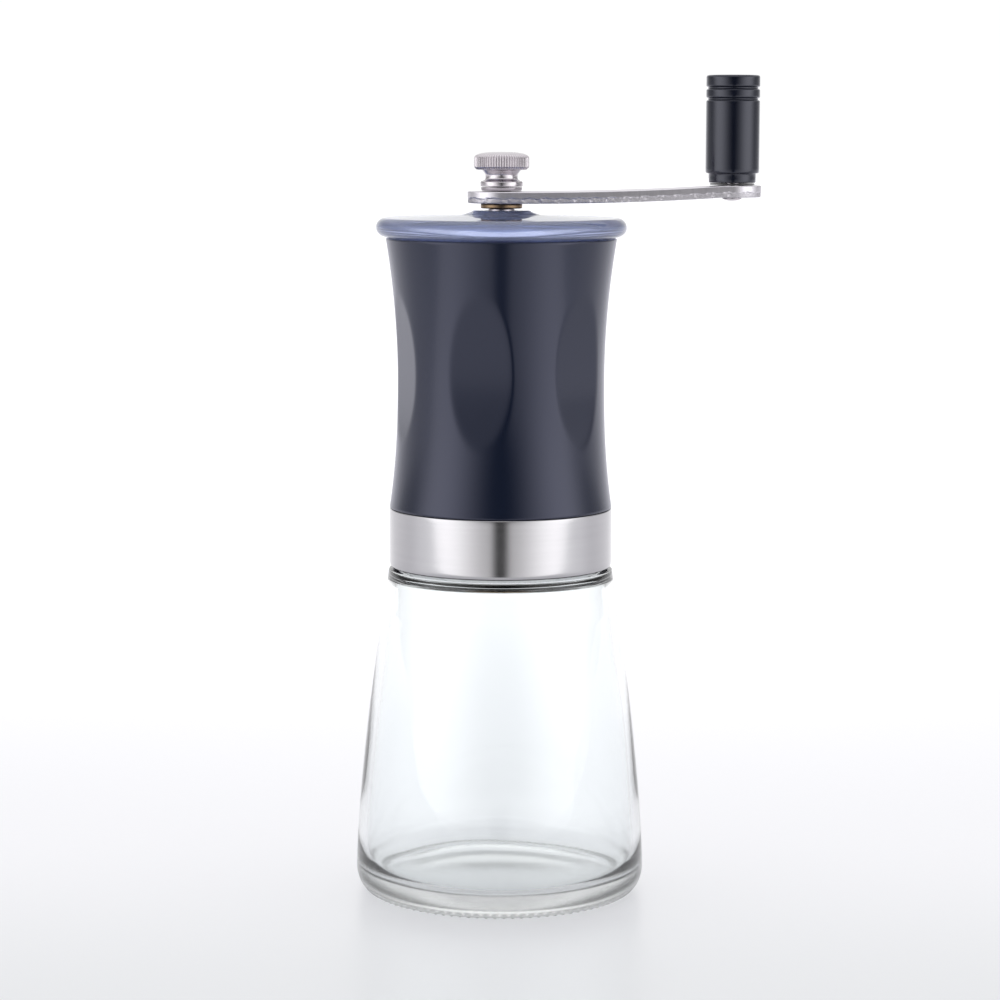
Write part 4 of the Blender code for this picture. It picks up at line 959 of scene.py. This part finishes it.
# ---------------------------------------------------------------------------------------------------------
# Hopper, bearings and burrs
@dataclass
class Inside:
    """What the body holds: hopper, bridge, bushes, burrs and the parts that set the grind.

    The slant is how many teeth the edges lean by in a metre of height, and the ramp is a tooth's long side.
    """

    wall: float = 0.0015
    throat_r: float = 0.0170
    cone: float = 0.0255
    arm_width: float = 0.0032
    arm_height: float = 0.0028
    teeth: int = 36
    tooth: float = 0.0007
    slant: float = 55.0
    ramp: float = 0.85

    def build(self, paints: Paintbox) -> None:
        """Makes the inner pieces."""
        self.build_hopper(paints)
        self.build_bridge(paints)
        self.build_burrs(paints)
        self.build_adjuster(paints)
        self.build_spring(paints)
        self.build_small_rings(paints)

    def build_hopper(self, paints: Paintbox) -> None:
        """Makes the funnel, with a thin ridge where its cone begins."""
        foot, top, radius = corners_of("hopper")
        outer = radius - 0.00346
        inner = outer - self.wall
        cone_foot, cone_top = foot + self.wall, foot + self.wall + self.cone
        throat = self.throat_r + self.wall
        profile = rounded([
            (radius, top, 0.0004), (radius, top - 0.0015, 0.0003), (outer, top - 0.0015, 0.0003),
            (outer, cone_top, 0.003), (throat, cone_foot, 0.001), (throat, foot, 0.0003),
            (self.throat_r, foot, 0.0003), (self.throat_r, cone_foot, 0.002), (inner, cone_top, 0.004),
            (inner, top, 0.0004),
        ])
        paints.turn("bean_funnel", divided(profile, 0.003), 160, ("upper_unit", "hopper"), Finish.MOULDED)

    def build_bridge(self, paints: Paintbox) -> None:
        """Makes the bearing bridge: the union of a ring, a hub and three arms."""
        foot, top, radius = corners_of("upper_bridge")
        hub_r, bore = 0.0070, 0.0054
        ring_foot = foot + 0.0020
        ring = rounded([
            (radius, ring_foot, 0.0003), (radius, ring_foot + 0.0022, 0.0004),
            (radius - 0.0038, ring_foot + 0.0022, 0.0006), (radius - 0.0038, ring_foot, 0.0003),
        ])
        hub = rounded([
            (hub_r, foot, 0.0004), (hub_r, top, 0.0007), (bore, top, 0.0003), (bore, foot, 0.0003),
        ])
        piece = lathe("upper_spider", divided(ring, 0.002), 144)
        extras = [lathe("spider_hub", divided(hub, 0.002), 96)]
        reach = (hub_r - 0.0008, radius - 0.002)
        extras += [self.spoke(f"spider_arm_{i}", TAU * i / 3, reach, ring_foot + 0.0002) for i in range(3)]
        joined(piece, extras, Combine.ADD)
        paints.dress(seat(piece, "upper_unit", "upper_bridge"), Finish.MOULDED)

    def spoke(self, name: str, turn: float, reach: tuple[float, float], foot: float) -> bpy.types.Object:
        """A round-topped bar between two radii: a rounded section carried along a line.

        Args:
            name: the bar's name.
            turn: the angle that it points to.
            reach: the radii of its ends.
            foot: the height of its underside.

        Returns:
            The bar.
        """
        half, height = self.arm_width / 2, self.arm_height
        section = rounded([
            (-half, 0.0, 0.0003), (half, 0.0, 0.0003), (half, height, 0.0009), (-half, height, 0.0009),
        ])
        along = np.linspace(*reach, 6)
        x = np.repeat(along[:, None], len(section), 1)
        y = np.repeat(section[None, :, 0], len(along), 0)
        z = np.repeat(section[None, :, 1], len(along), 0) + foot
        points = np.stack([x * np.cos(turn) - y * np.sin(turn), x * np.sin(turn) + y * np.cos(turn), z], -1)
        return capped(new_piece(name, points.reshape(-1, 3), wrapped_quads(len(along), len(section), False)))

    def build_burrs(self, paints: Paintbox) -> None:
        """Makes both burrs. Their teeth are slanting saw edges: a share of the angle, twisted by height."""
        foot, top, radius = corners_of("outer_burr")

        def toothed(sign: float, limit: float) -> Warp:
            """A warp that cuts the teeth into the working side, outwards if sign is positive."""
            def warp(theta: Array, r: Array, z: Array) -> tuple[Array, Array]:
                """Cuts the saw teeth."""
                saw = (theta * self.teeth / TAU + (z - foot) * self.slant) % 1.0
                cut = self.tooth * np.where(saw < self.ramp, saw / self.ramp, (1 - saw) / (1 - self.ramp))
                working = (r < limit) if sign > 0 else (r > limit)
                return r + np.where(working, sign * cut, 0), z
            return warp

        zone = foot + 0.0064
        outer = rounded([
            (radius, foot, 0.0004), (radius, top, 0.0004), (0.0138, top, 0.0006),
            (0.0116, zone, 0.0015), (0.01512, foot, 0.0003),
        ])
        steps, teeth = self.teeth * 10, toothed(1.0, radius - 0.0008)
        place = ("upper_unit", "outer_burr")
        paints.turn("ring_burr", divided(outer, 0.0006), steps, place, Finish.CERAMIC, teeth)
        low, high, _ = corners_of("inner_burr")
        inner = rounded([
            (0.01432, low, 0.0003), (0.0108, low + 0.0072, 0.0015), (0.0066, high, 0.0005),
            (0.0055, high, 0.0002), (0.0055, low, 0.0002),
        ])
        place = ("burr", "inner_burr")
        paints.turn("cone_burr", divided(inner, 0.0006), steps, place, Finish.CERAMIC, toothed(-1.0, 0.0060))

    @staticmethod
    def build_adjuster(paints: Paintbox) -> None:
        """Makes the lobed adjusting nut and the star-shaped click plate."""
        foot, top, radius = corners_of("adjusting_nut")
        bore = 0.0033

        def lobed(count: int, depth: float) -> Warp:
            """A warp that waves the rim count times by depth."""
            def warp(theta: Array, r: Array, z: Array) -> tuple[Array, Array]:
                """Waves the rim."""
                rim = smooth_step(r, 0.6 * radius, 0.8 * radius)
                return r - depth * rim * (0.5 - 0.5 * np.cos(count * theta)), z
            return warp

        nut = rounded([
            (radius, foot + 0.0004, 0.0006), (radius, top, 0.0006), (bore, top, 0.0003), (bore, foot, 0.0003),
            (0.0050, foot, 0.0004), (0.0055, foot + 0.0009, 0.0004), (0.0075, foot + 0.0009, 0.0004),
            (0.0080, foot, 0.0006),
        ])
        place = ("adjuster", "adjusting_nut")
        paints.turn("grind_nut", divided(nut, 0.0008), 192, place, Finish.BRASS, lobed(8, 0.0009))
        foot, top, radius = corners_of("click_plate")
        plate = divided(ring_outline(radius, bore, foot, top, 0.0002, 0.0001), 0.0008)
        paints.turn("click_star", plate, 192, ("burr", "click_plate"), Finish.SPRING, lobed(12, 0.0008))

    @staticmethod
    def build_spring(paints: Paintbox) -> None:
        """Makes the coil spring: a circle carried along a helix whose first and last turns lie flat."""
        low, high, radius = corners_of("burr_spring")
        wire = 0.00045
        turns, per_turn, around = 4.0, 48, 12
        travel = np.linspace(0, 1, int(turns * per_turn) + 1)
        angle = travel * turns * TAU
        eased = smooth_step(travel, 0.08, 0.92) * 0.25 + travel * 0.75
        z = low + wire + (high - low - 2 * wire) * eased
        section = np.arange(around) / around * TAU
        reach = radius - wire + wire * np.cos(section)[None, :]
        points = np.stack([
            reach * np.cos(angle)[:, None], reach * np.sin(angle)[:, None],
            z[:, None] + wire * np.sin(section)[None, :],
        ], -1)
        quads = wrapped_quads(len(travel), around, False)
        piece = capped(new_piece("coil_spring", points.reshape(-1, 3), quads))
        paints.dress(seat(piece, "shaft", "burr_spring"), Finish.SPRING)
        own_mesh(piece)

    @staticmethod
    def build_small_rings(paints: Paintbox) -> None:
        """Makes the upper bush and the shaft collar, which show through the lid."""
        foot, top, radius = corners_of("upper_bush")
        bush = rounded([
            (radius, top - 0.0008, 0.0001), (radius, top, 0.0003), (0.0037, top, 0.0003),
            (0.0037, foot, 0.0002), (0.0051, foot, 0.0002), (0.0051, top - 0.0008, 0.0001),
        ])
        paints.turn("upper_bearing", divided(bush, 0.002), 96, ("upper_unit", "upper_bush"), Finish.ACETAL)
        foot, top, radius = corners_of("shaft_collar")
        collar = rounded([
            (radius, foot, 0.0003), (radius, top, 0.0004), (0.0037, top, 0.0002), (0.0037, foot, 0.0002),
        ])
        paints.turn("thrust_collar", divided(collar, 0.001), 96, ("shaft", "shaft_collar"), Finish.BRASS)


def capped(piece: bpy.types.Object) -> bpy.types.Object:
    """Closes the two open ends of a tube and turns its faces outwards."""
    bm = bmesh.new()
    bm.from_mesh(piece.data)
    open_edges = [edge for edge in bm.edges if edge.is_boundary]
    bmesh.ops.holes_fill(bm, edges=open_edges, sides=0)
    bmesh.ops.recalc_face_normals(bm, faces=bm.faces)
    bm.to_mesh(piece.data)
    bm.free()
    piece.data.shade_smooth()
    piece.data.set_sharp_from_angle(angle=math.radians(50))
    return piece


class Combine(Enum):
    """What a Boolean does with the other solids."""

    ADD = "UNION"
    CUT = "DIFFERENCE"


def joined(piece: bpy.types.Object, others: Sequence[bpy.types.Object], how: Combine) -> None:
    """Applies a Boolean of the others to the piece, and removes the others.

    Args:
        piece: the piece that is changed.
        others: the solids that are added or cut away.
        how: which of the two.
    """
    for other in others:
        modifier = piece.modifiers.new(other.name, "BOOLEAN")
        modifier.operation = how.value
        modifier.solver = "EXACT"
        modifier.object = other
    bpy.context.view_layer.update()
    graph = bpy.context.evaluated_depsgraph_get()
    mesh = bpy.data.meshes.new_from_object(piece.evaluated_get(graph))
    piece.modifiers.clear()
    piece.data = mesh
    mesh.set_sharp_from_angle(angle=math.radians(40))
    for other in others:
        bpy.data.objects.remove(other, do_unlink=True)


# ---------------------------------------------------------------------------------------------------------
# Lid
@dataclass
class Lid:
    """The clear lid: bullnose rim, slightly crowned plate, flared boss with shallow facets."""

    rim: float = 0.0050
    plate: float = 0.0024
    crown: float = 0.0007
    boss_root_r: float = 0.0104
    boss_top_r: float = 0.0075
    boss_hollow_r: float = 0.0064
    spigot_wall: float = 0.0019
    bore: float = 0.0043
    facets: int = 24

    def build(self, paints: Paintbox) -> None:
        """Makes the lid."""
        spigot_foot, boss_top, radius = corners_of("lid")
        spigot_r = float(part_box("hopper")[1][0])
        foot = float(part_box("body_shell")[1][2]) + 0.0003
        rim_top = foot + self.rim
        plate_top = rim_top + self.crown
        under = rim_top - self.plate
        half = self.rim / 2
        turn = np.radians(np.linspace(-90, 90, 25))
        nose = np.stack([radius - half + half * np.cos(turn), foot + half + half * np.sin(turn)], -1)
        top = rounded([
            (radius - half, rim_top, 0), (radius - half - 0.0012, rim_top - 0.0001, 0.001),
            (self.boss_root_r + 0.0012, plate_top, 0.0015), (self.boss_root_r, plate_top + 0.0001, 0.0008),
            (self.boss_top_r + 0.0004, boss_top - 0.0003, 0.0003), (self.boss_top_r, boss_top, 0.0004),
            (self.bore, boss_top, 0.0004), (self.bore, boss_top - self.plate, 0.0002),
            (self.boss_hollow_r - 0.0008, boss_top - self.plate, 0.0008),
            (self.boss_hollow_r, under + self.crown, 0.0008),
            (spigot_r - self.spigot_wall, under, 0.0010), (spigot_r - self.spigot_wall, spigot_foot, 0.0004),
            (spigot_r, spigot_foot, 0.0006), (spigot_r, foot, 0.0003), (radius - half, foot, 0),
        ], closed=False, per=7)
        profile = np.concatenate([nose, divided(top[1:-1], 0.0012, False)])

        def warp(theta: Array, r: Array, z: Array) -> tuple[Array, Array]:
            """Flattens the boss's flare into facets, which fade out at its root and top."""
            offset = from_nearest(theta, self.facets)
            flare = smooth_step(r, self.boss_top_r, self.boss_top_r + 0.0008) * (z > plate_top - 0.0002)
            flare = flare * (1 - smooth_step(r, self.boss_root_r - 0.0003, self.boss_root_r + 0.0010))
            return r * (1 - flare * (1 - math.cos(math.pi / self.facets) / np.cos(offset))), z

        paints.turn("clear_lid", profile, self.facets * 12, ("lid", "lid"), Finish.ACRYLIC, warp)


# ---------------------------------------------------------------------------------------------------------
# Drive and crank
@dataclass
class CrankSizes:
    """Sizes of the crank that the CAD model also holds."""

    length: float = 0.0612
    hub_r: float = 0.00905
    tip_r: float = 0.0077
    thickness: float = 0.0031
    rise: float = 0.00175
    bend_end: float = 0.0585
    bend_power: float = 2.3
    edge: float = 0.00028
    square_half: float = 0.0027
    pin_hole: float = 0.0023


@dataclass
class Crank:
    """Shaft, brass ring, arm, thumb nut, knob and pin."""

    sizes: CrankSizes
    square_half: float = 0.00245
    flats_half: float = 0.0023
    thread_r: float = 0.0024
    shaft_r: float = 0.0035
    lower_r: float = 0.0030
    gap: float = 0.0002
    thread_length: float = 0.0072
    upper_pitch: float = 0.0008
    upper_thread: float = 0.00034
    lower_pitch: float = 0.0010
    lower_thread: float = 0.00040
    flats_length: float = 0.0131
    flats_spare: float = 0.0011
    teeth: int = 64
    tooth: float = 0.00042
    torn: float = 0.00015
    cutter_spare: float = 0.002
    grooves: tuple[float, float] = (0.0034, 0.0063)
    groove_depth: float = 0.0005

    def build(self, paints: Paintbox) -> None:
        """Makes the crank's pieces."""
        self.build_shaft(paints)
        self.build_ring(paints)
        self.build_arm(paints)
        self.build_nut(paints)
        self.build_knob(paints)

    def build_shaft(self, paints: Paintbox) -> None:
        """Makes the shaft: round, with a square and a thread above, two flats and a thread below.

        The radius is cut down to the square's or the flats' sides, and the threads take off a raised
        cosine of the height less the angle's share of a pitch.
        """
        low, high, _ = corners_of("drive_shaft")
        shoulder = float(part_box("drive_ring")[0][2]) - self.gap
        square_top = high - self.thread_length
        step = float(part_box("spring_washer")[1][2]) + self.gap
        flats_top = float(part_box("burr_driver")[1][2]) + self.flats_spare
        square_r = self.square_half * math.sqrt(2)
        profile = divided(rounded([
            (0, low, 0), (self.lower_r, low, 0.0004), (self.lower_r, step, 0.0002),
            (self.shaft_r, step, 0.0004), (self.shaft_r, shoulder, 0.0003), (square_r, shoulder, 0),
            (square_r, square_top, 0.0003), (self.thread_r, square_top, 0.0001),
            (self.thread_r, high, 0.0006), (0, high, 0),
        ], closed=False), 0.00020, False)

        def warp(theta: Array, r: Array, z: Array) -> tuple[Array, Array]:
            """Cuts the square, the flats and both threads."""
            square = (z > shoulder + 0.00005) & (z < square_top + 0.00005)
            r = np.where(square, flat_sided(theta, r, self.square_half, 4), r)
            fine = 0.5 - 0.5 * np.cos(TAU * (z / self.upper_pitch) - theta)
            threaded = (z > square_top + 0.0003) & (r > 0.8 * self.thread_r)
            r = np.where(threaded, r - self.upper_thread * fine, r)
            coarse = 0.5 - 0.5 * np.cos(TAU * (z / self.lower_pitch) - theta)
            threaded = (z < flats_top - self.flats_length) & (r > 0.8 * self.lower_r)
            r = np.where(threaded, r - self.lower_thread * coarse, r)
            flats = flat_sided(theta + math.pi / 2, r, self.flats_half, 2)
            return np.where(z < flats_top, np.minimum(r, np.maximum(flats, 0)), r), z

        paints.turn("crank_shaft", profile, 96, ("shaft", "drive_shaft"), Finish.TURNED, warp)

    def build_ring(self, paints: Paintbox) -> None:
        """Makes the brass ring, whose hole is square."""
        foot, top, radius = corners_of("drive_ring")
        hole = self.sizes.square_half * math.sqrt(2)
        profile = divided(ring_outline(radius, hole, foot, top, 0.0003, 0.0001), 0.0006)

        def warp(theta: Array, r: Array, z: Array) -> tuple[Array, Array]:
            """Squares the hole."""
            inner = r < hole + 0.0003
            return np.where(inner, flat_sided(theta, r, self.sizes.square_half * r / hole, 4), r), z

        paints.turn("brass_ring", profile, 144, ("crank", "drive_ring"), Finish.BRASS, warp)

    def arm_plan(self, count: int) -> tuple[Array, Array]:
        """The arm's outline seen from above, and the spine point that each outline point shrinks to.

        Two arcs round the hub and the tip are joined by the straight lines that touch both. The outline
        is the same above and below the X axis, so that its halves meet on the spine.
        """
        s = self.sizes
        lean = math.asin((s.hub_r - s.tip_r) / s.length)
        tip = -np.linspace(-math.pi / 2 + lean, math.pi / 2 - lean, count)
        hub = np.linspace(-math.pi / 2 + lean, -3 * math.pi / 2 - lean, count)
        side = np.linspace(0, 1, 3 * count)[1:-1]
        tip_points = np.stack([s.length + s.tip_r * np.cos(tip), s.tip_r * np.sin(tip)], -1)
        hub_points = np.stack([s.hub_r * np.cos(hub), s.hub_r * np.sin(hub)], -1)
        lower = tip_points[-1] + (hub_points[0] - tip_points[-1]) * side[:, None]
        upper = hub_points[-1] + (tip_points[0] - hub_points[-1]) * side[:, None]
        outline = np.concatenate([tip_points, lower, hub_points, upper])
        spine_x = np.concatenate([
            np.full(count, s.length), s.length * (1 - side), np.zeros(count), s.length * side,
        ])
        return outline, np.stack([spine_x, np.zeros_like(spine_x)], -1)

    def build_arm(self, paints: Paintbox) -> None:
        """Makes the arm: rings shrink from its outline to its spine on the top and the bottom face.

        All of it is raised by a power of the distance along the arm, up to the end of the bend. The lower
        part of its edge is pushed in and out by a sum of sines, as a torn edge is.
        """
        s = self.sizes
        outline, spine = self.arm_plan(64)
        foot = float(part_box("crank_arm")[0][2])
        turn = np.linspace(0, math.pi / 2, 5)
        inset = s.edge * (1 - np.sin(turn))
        drop = s.edge * (1 - np.cos(turn))
        side = np.linspace(s.edge, s.thickness - s.edge, 22)[1:-1]
        levels = np.concatenate([[0.0] * 5, drop, side, (s.thickness - drop)[::-1], [s.thickness] * 5])
        shrink = np.array([0.0, 0.25, 0.5, 0.75, 0.93])
        width = np.linalg.norm(outline - spine, axis=1)
        rounded_part = 1 - np.concatenate([inset, np.zeros(len(side)), inset[::-1]])[:, None] / width[None]
        faces = np.repeat(shrink[:, None], len(width), 1)
        keep = np.concatenate([faces, rounded_part, faces[::-1]])
        plan = spine[None] + (outline - spine)[None] * keep[..., None]
        travel = np.arange(len(outline)) / len(outline) * TAU
        ragged = np.sin(61 * travel) + np.sin(97 * travel + 1.3) * 0.8 + np.sin(173 * travel + 0.4) * 0.6
        level = (levels / s.thickness)[:, None]
        border = 0.05 * np.sin(37 * travel + 2) + 0.045 * np.sin(131 * travel) * np.sin(17 * travel)
        broken = smooth_step(0.45 - level + border[None], 0.0, 0.05)
        broken = broken * (keep > 0.95)
        rough = broken * (level > 0.02) * (1 + ragged[None] * np.cos(9 * level + 2 * ragged[None]))
        outward = (outline - spine) / width[:, None]
        plan = plan - outward[None] * (self.torn * 0.5 * (rough + broken))[..., None]
        bend = s.rise * np.clip(plan[..., 0] / s.bend_end, 0, 1) ** s.bend_power
        height = foot + levels[:, None] + bend
        points = np.concatenate([plan, height[..., None]], -1)
        quads = wrapped_quads(len(levels), len(outline), False)
        piece = new_piece("flat_crank", points.reshape(-1, 3), quads)
        bm = bmesh.new()
        bm.from_mesh(piece.data)
        bmesh.ops.remove_doubles(bm, verts=bm.verts, dist=1e-6)
        bmesh.ops.recalc_face_normals(bm, faces=bm.faces)
        bm.to_mesh(piece.data)
        bm.free()
        self.cut_holes(piece, foot)
        paints.dress(seat(piece, "crank", "crank_arm"), Finish.ARM)

    def cut_holes(self, arm: bpy.types.Object, foot: float) -> None:
        """Cuts the square hole for the shaft and the round one for the knob's pin."""
        s = self.sizes
        low, high = foot - self.cutter_spare, foot + s.thickness + s.rise
        reach = s.square_half * 1.5
        square = lathe(
            "arm_square_cutter", np.array([(0, low), (reach, low), (reach, high), (0, high)]), 48,
            lambda theta, r, z: (flat_sided(theta, r, s.square_half, 4), z),
        )
        low, high = foot, high + self.cutter_spare
        outline = np.array([(0, low), (s.pin_hole, low), (s.pin_hole, high), (0, high)])
        joined(arm, [square, lathe("arm_pin_cutter", outline, 48, None, s.length)], Combine.CUT)

    def build_nut(self, paints: Paintbox) -> None:
        """Makes the thumb nut and its washer. The knurl takes off a rounded sawtooth of the angle."""
        foot, top, radius = corners_of("crank_nut")
        collar_r, neck_r, bore = 0.00565, 0.0043, 0.0027
        neck_foot = foot + 0.0024
        head_foot = neck_foot + 0.0020
        head_top = top - 0.0003
        bore_top = float(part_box("drive_shaft")[1][2]) + 0.0010
        profile = rounded([
            (0, top, 0), (0.0036, top - 0.00004, 0.001), (0.0058, head_top - 0.0001, 0.0008),
            (radius - 0.0004, head_top - 0.0006, 0.0003), (radius, head_top - 0.0011, 0.0003),
            (radius, head_foot + 0.0007, 0.0003), (radius - 0.0007, head_foot, 0.0003),
            (neck_r + 0.0009, head_foot, 0.0003), (neck_r, head_foot - 0.0012, 0.0003),
            (neck_r, neck_foot - 0.0006, 0.0006), (collar_r - 0.0002, foot + 0.0014, 0.0002),
            (collar_r, foot + 0.0012, 0.0002), (collar_r, foot, 0.0002), (bore, foot, 0.0002),
            (bore, bore_top, 0.0002), (0, bore_top + 0.0009, 0),
        ], closed=False)
        profile = divided(profile, 0.0003, False)

        def warp(theta: Array, r: Array, z: Array) -> tuple[Array, Array]:
            """Cuts the knurl into the head's rim, with pointed ends at its chamfers."""
            wave = np.abs(((theta * self.teeth / TAU) % 1.0) * 2 - 1)
            rim = smooth_step(r, radius - 0.0008, radius - 0.0003) * (z > head_foot)
            return r - self.tooth * rim * np.clip((wave - 0.25) / 0.75, 0, 1), z

        place = ("crank_nut", "crank_nut")
        paints.turn("thumb_nut", profile, self.teeth * 8, place, Finish.TURNED, warp)
        foot, top, radius = corners_of("nut_washer")
        washer = rounded([
            (radius - 0.0003, foot, 0.0002), (radius, top, 0.0002), (bore, top, 0.0001), (bore, foot, 0.0001),
        ])
        paints.turn("thumb_washer", divided(washer, 0.0006), 128, ("nut_washer", "nut_washer"), Finish.TURNED)

    def build_knob(self, paints: Paintbox) -> None:
        """Makes the knob with its two grooves and small foot, its cap, its pin and its washer."""
        x = self.sizes.length
        foot, top, radius = corners_of("knob")
        foot_r, foot_top, bore, chamber, cap_r = 0.00625, foot + 0.0025, 0.0023, 0.0044, 0.0052
        groove, mouth, flat = radius - self.groove_depth, 0.0005, 0.00015
        corners = [(cap_r, top, 0.0001), (radius, top, 0.0007)]
        for middle in (top - depth for depth in self.grooves):
            corners += [(radius, middle + mouth, 0.00015), (groove, middle + flat, 0.0001)]
            corners += [(groove, middle - flat, 0.0001), (radius, middle - mouth, 0.00015)]
        corners += [
            (radius, foot_top + 0.0001, 0.0006), (foot_r + 0.0002, foot_top, 0.0002),
            (foot_r, foot_top - 0.0002, 0.0002), (foot_r, foot, 0.0004), (bore, foot, 0.0002),
            (bore, top - 0.0096, 0.0001), (chamber, top - 0.0096, 0.0002), (chamber, top - 0.0023, 0.0001),
            (cap_r, top - 0.0023, 0.0001),
        ]
        knob = divided(rounded(corners), 0.0006)
        paints.turn("turned_knob", knob, 192, ("knob", "knob"), Finish.KNOB, centre_x=x)
        foot, top, radius = corners_of("knob_cap")
        cap = rounded([
            (0, top - 0.0001, 0), (radius * 0.5, top - 0.00006, 0.001), (radius, top, 0.0005),
            (radius, foot, 0.0002), (0, foot, 0),
        ], closed=False)
        cap = divided(cap, 0.0006, False)
        paints.turn("knob_plug", cap, 96, ("knob", "knob_cap"), Finish.KNOB, centre_x=x)
        foot, top, _ = corners_of("knob_pin")
        head_top = foot + 0.0008
        pin = rounded([
            (0, foot, 0), (0.0012, foot + 0.00006, 0.0006), (0.0026, foot + 0.0005, 0.0005),
            (0.0026, head_top, 0.0001), (0.0020, head_top, 0.0001), (0.0020, top, 0.0003), (0, top, 0),
        ], closed=False)
        pin = divided(pin, 0.0008, False)
        paints.turn("rivet_pin", pin, 96, ("crank", "knob_pin"), Finish.TURNED, centre_x=x)
        foot, top, radius = corners_of("knob_washer")
        shim = divided(ring_outline(radius, bore, foot, top, 0.0001, 0.0001), 0.001)
        paints.turn("knob_shim", shim, 96, ("crank", "knob_washer"), Finish.MOULDED, centre_x=x)


# ---------------------------------------------------------------------------------------------------------
# Studio
@dataclass
class Studio:
    """A table that glows with painted light, in a light tent that is soft box on both sides and white behind,
    and the camera.
    """

    distance: float = 0.795
    camera_height: float = 0.2052
    pitch: float = math.radians(7.1)
    roll: float = math.radians(0.17)
    focal: float = 107.208
    aim_x: float = -0.00017
    top_power: float = 1.5
    lamp_size: tuple[float, float] = (1.0, 0.8)
    lamp_place: tuple[float, float, float] = (0.0, 0.15, 1.1)
    sensor: float = 36.0
    gap_level: float = 0.05
    gap_flare: float = 0.4
    low_steps: Steps = ((3.0, 12.0, 0.85), (10.0, 60.0, 1.10), (70.0, 106.0, -1.62), (120.0, 165.0, 0.64))
    high_steps: Steps = ((5.0, 62.0, 2.30), (68.0, 106.0, -1.95), (120.0, 165.0, 0.62))
    horizon: tuple[float, float] = (-0.09, -0.01)
    ceiling: tuple[float, float] = (0.22, 0.50)
    ceiling_level: float = 1.05
    table_front: float = -0.25
    table_back: float = 12.0
    table_half: float = 6.0
    table_z: float = -0.00005
    near_span: tuple[float, float] = (-0.13, 0.06)
    far_span: tuple[float, float] = (0.05, 0.60)
    # Emission of the table top near, middle and far: painted light that brightens towards the back and hides
    # the grinder's shadow.
    painted_table_light: tuple[Colour, Colour, Colour] = ((0.40, 0.41, 0.42), (0.50, 0.50, 0.52), (0.67, 0.665, 0.69))
    table_colours: tuple[Colour, Colour] = ((0.26, 0.26, 0.27), (0.24, 0.24, 0.24))
    table_roughness: float = 0.32
    rows: int = 30
    columns: int = 24

    def build(self) -> None:
        """Makes the table, the lights, the surroundings and the camera."""
        self.build_table()
        self.build_lamp()
        self.build_world()
        self.build_camera()
        bpy.context.scene.view_settings.view_transform = "Standard"

    def build_table(self) -> None:
        """Makes the table top: grey near the camera, with a painted glow of light that grows to the back and
        washes out the shadows on it.
        """
        across = np.linspace(-self.table_half, self.table_half, self.columns + 1)
        x, y = np.meshgrid(across, np.linspace(self.table_front, self.table_back, self.rows + 1))
        points = np.stack([x, y, np.full_like(x, self.table_z)], -1).reshape(-1, 3)
        row, column = np.meshgrid(np.arange(self.rows), np.arange(self.columns), indexing="ij")
        first = (row * (self.columns + 1) + column).reshape(-1)
        above = first + self.columns + 1
        quads = np.stack([first, first + 1, above + 1, above], -1)
        table = new_piece("table_top", points, quads)
        graph = Graph("painted_light_table")
        _, depth, _ = graph.axes()
        speck = graph.noise(graph.place(), 300.0, 2.0)
        far = depth.ramp(*self.far_span)
        front, middle, back = self.painted_table_light
        # Painted light: the table's emission grows from the camera side to the back.
        glow = graph.mix(depth.ramp(*self.near_span), front, middle)
        graph.set(
            Base_Color=graph.mix(far, *self.table_colours),
            Roughness=self.table_roughness + (speck - 0.5) * 0.02,
            Emission_Color=graph.mix(far, glow, back),
            Emission_Strength=1.0,
        )
        table.data.materials.append(graph.material)

    def build_lamp(self) -> None:
        """Hangs a wide, weak soft box over the grinder."""
        lamp = bpy.data.lights.new("top_box", "AREA")
        lamp.shape = "RECTANGLE"
        lamp.size, lamp.size_y = self.lamp_size
        lamp.energy = self.top_power
        holder = bpy.data.objects.new("top_box", lamp)
        holder.location = self.lamp_place
        bpy.context.scene.collection.objects.link(holder)

    def build_world(self) -> None:
        """Surrounds the scene with a light tent, whose brightness depends on the direction round Z.

        It is dark in a gap at the camera, which is narrower below the horizon, brightest at a soft box on
        each side, dimmer beside the grinder and white behind it. Overhead it is even.
        """
        graph = TentGraph("light_tent")
        x, y, z = graph.directions()
        turn = x.angle_to(y * -1.0)
        away = turn.at_least(turn * -1.0) * math.degrees(1.0)
        away = away / (1.0 + z.at_least(0.0) * self.gap_flare)
        low, high = self.level(away, self.low_steps), self.level(away, self.high_steps)
        wall = low + (high - low) * z.ramp(*self.horizon)
        ceiling = z.ramp(*self.ceiling)
        graph.set(Strength=wall * (1.0 - ceiling) + ceiling * self.ceiling_level)

    def level(self, away: Value, steps: Steps) -> Value | float:
        """The tent's brightness: the gap's own, and each step's rise between its two angles."""
        found: Value | float = self.gap_level
        for start, end, rise in steps:
            found = found + away.ramp(start, end) * rise
        return found

    def build_camera(self) -> None:
        """Places the camera in front, a little above the band, looking slightly down."""
        lens = bpy.data.cameras.new("view")
        lens.lens = self.focal
        lens.sensor_width = self.sensor
        lens.clip_start, lens.clip_end = 0.01, 60.0
        camera = bpy.data.objects.new("view", lens)
        camera.location = (self.aim_x, -self.distance, self.camera_height)
        camera.rotation_mode = "XYZ"
        camera.rotation_euler = (math.pi / 2 - self.pitch, 0.0, 0.0)
        camera.rotation_euler.rotate_axis("Z", self.roll)
        bpy.context.scene.collection.objects.link(camera)
        bpy.context.scene.camera = camera


def main() -> None:
    """Loads the frame and builds the looks around it, one sub-assembly at a time."""
    logging.basicConfig(level=logging.INFO, format="%(name)s %(message)s")
    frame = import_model()
    crank_sizes = CrankSizes()
    paints = Paintbox(crank_sizes)
    paints.repaint_nodes(frame)
    Jar().build(paints)
    Casing().build(paints)
    Inside().build(paints)
    Lid().build(paints)
    Crank(crank_sizes).build(paints)
    Studio().build()


if __name__ == "__main__":
    main()
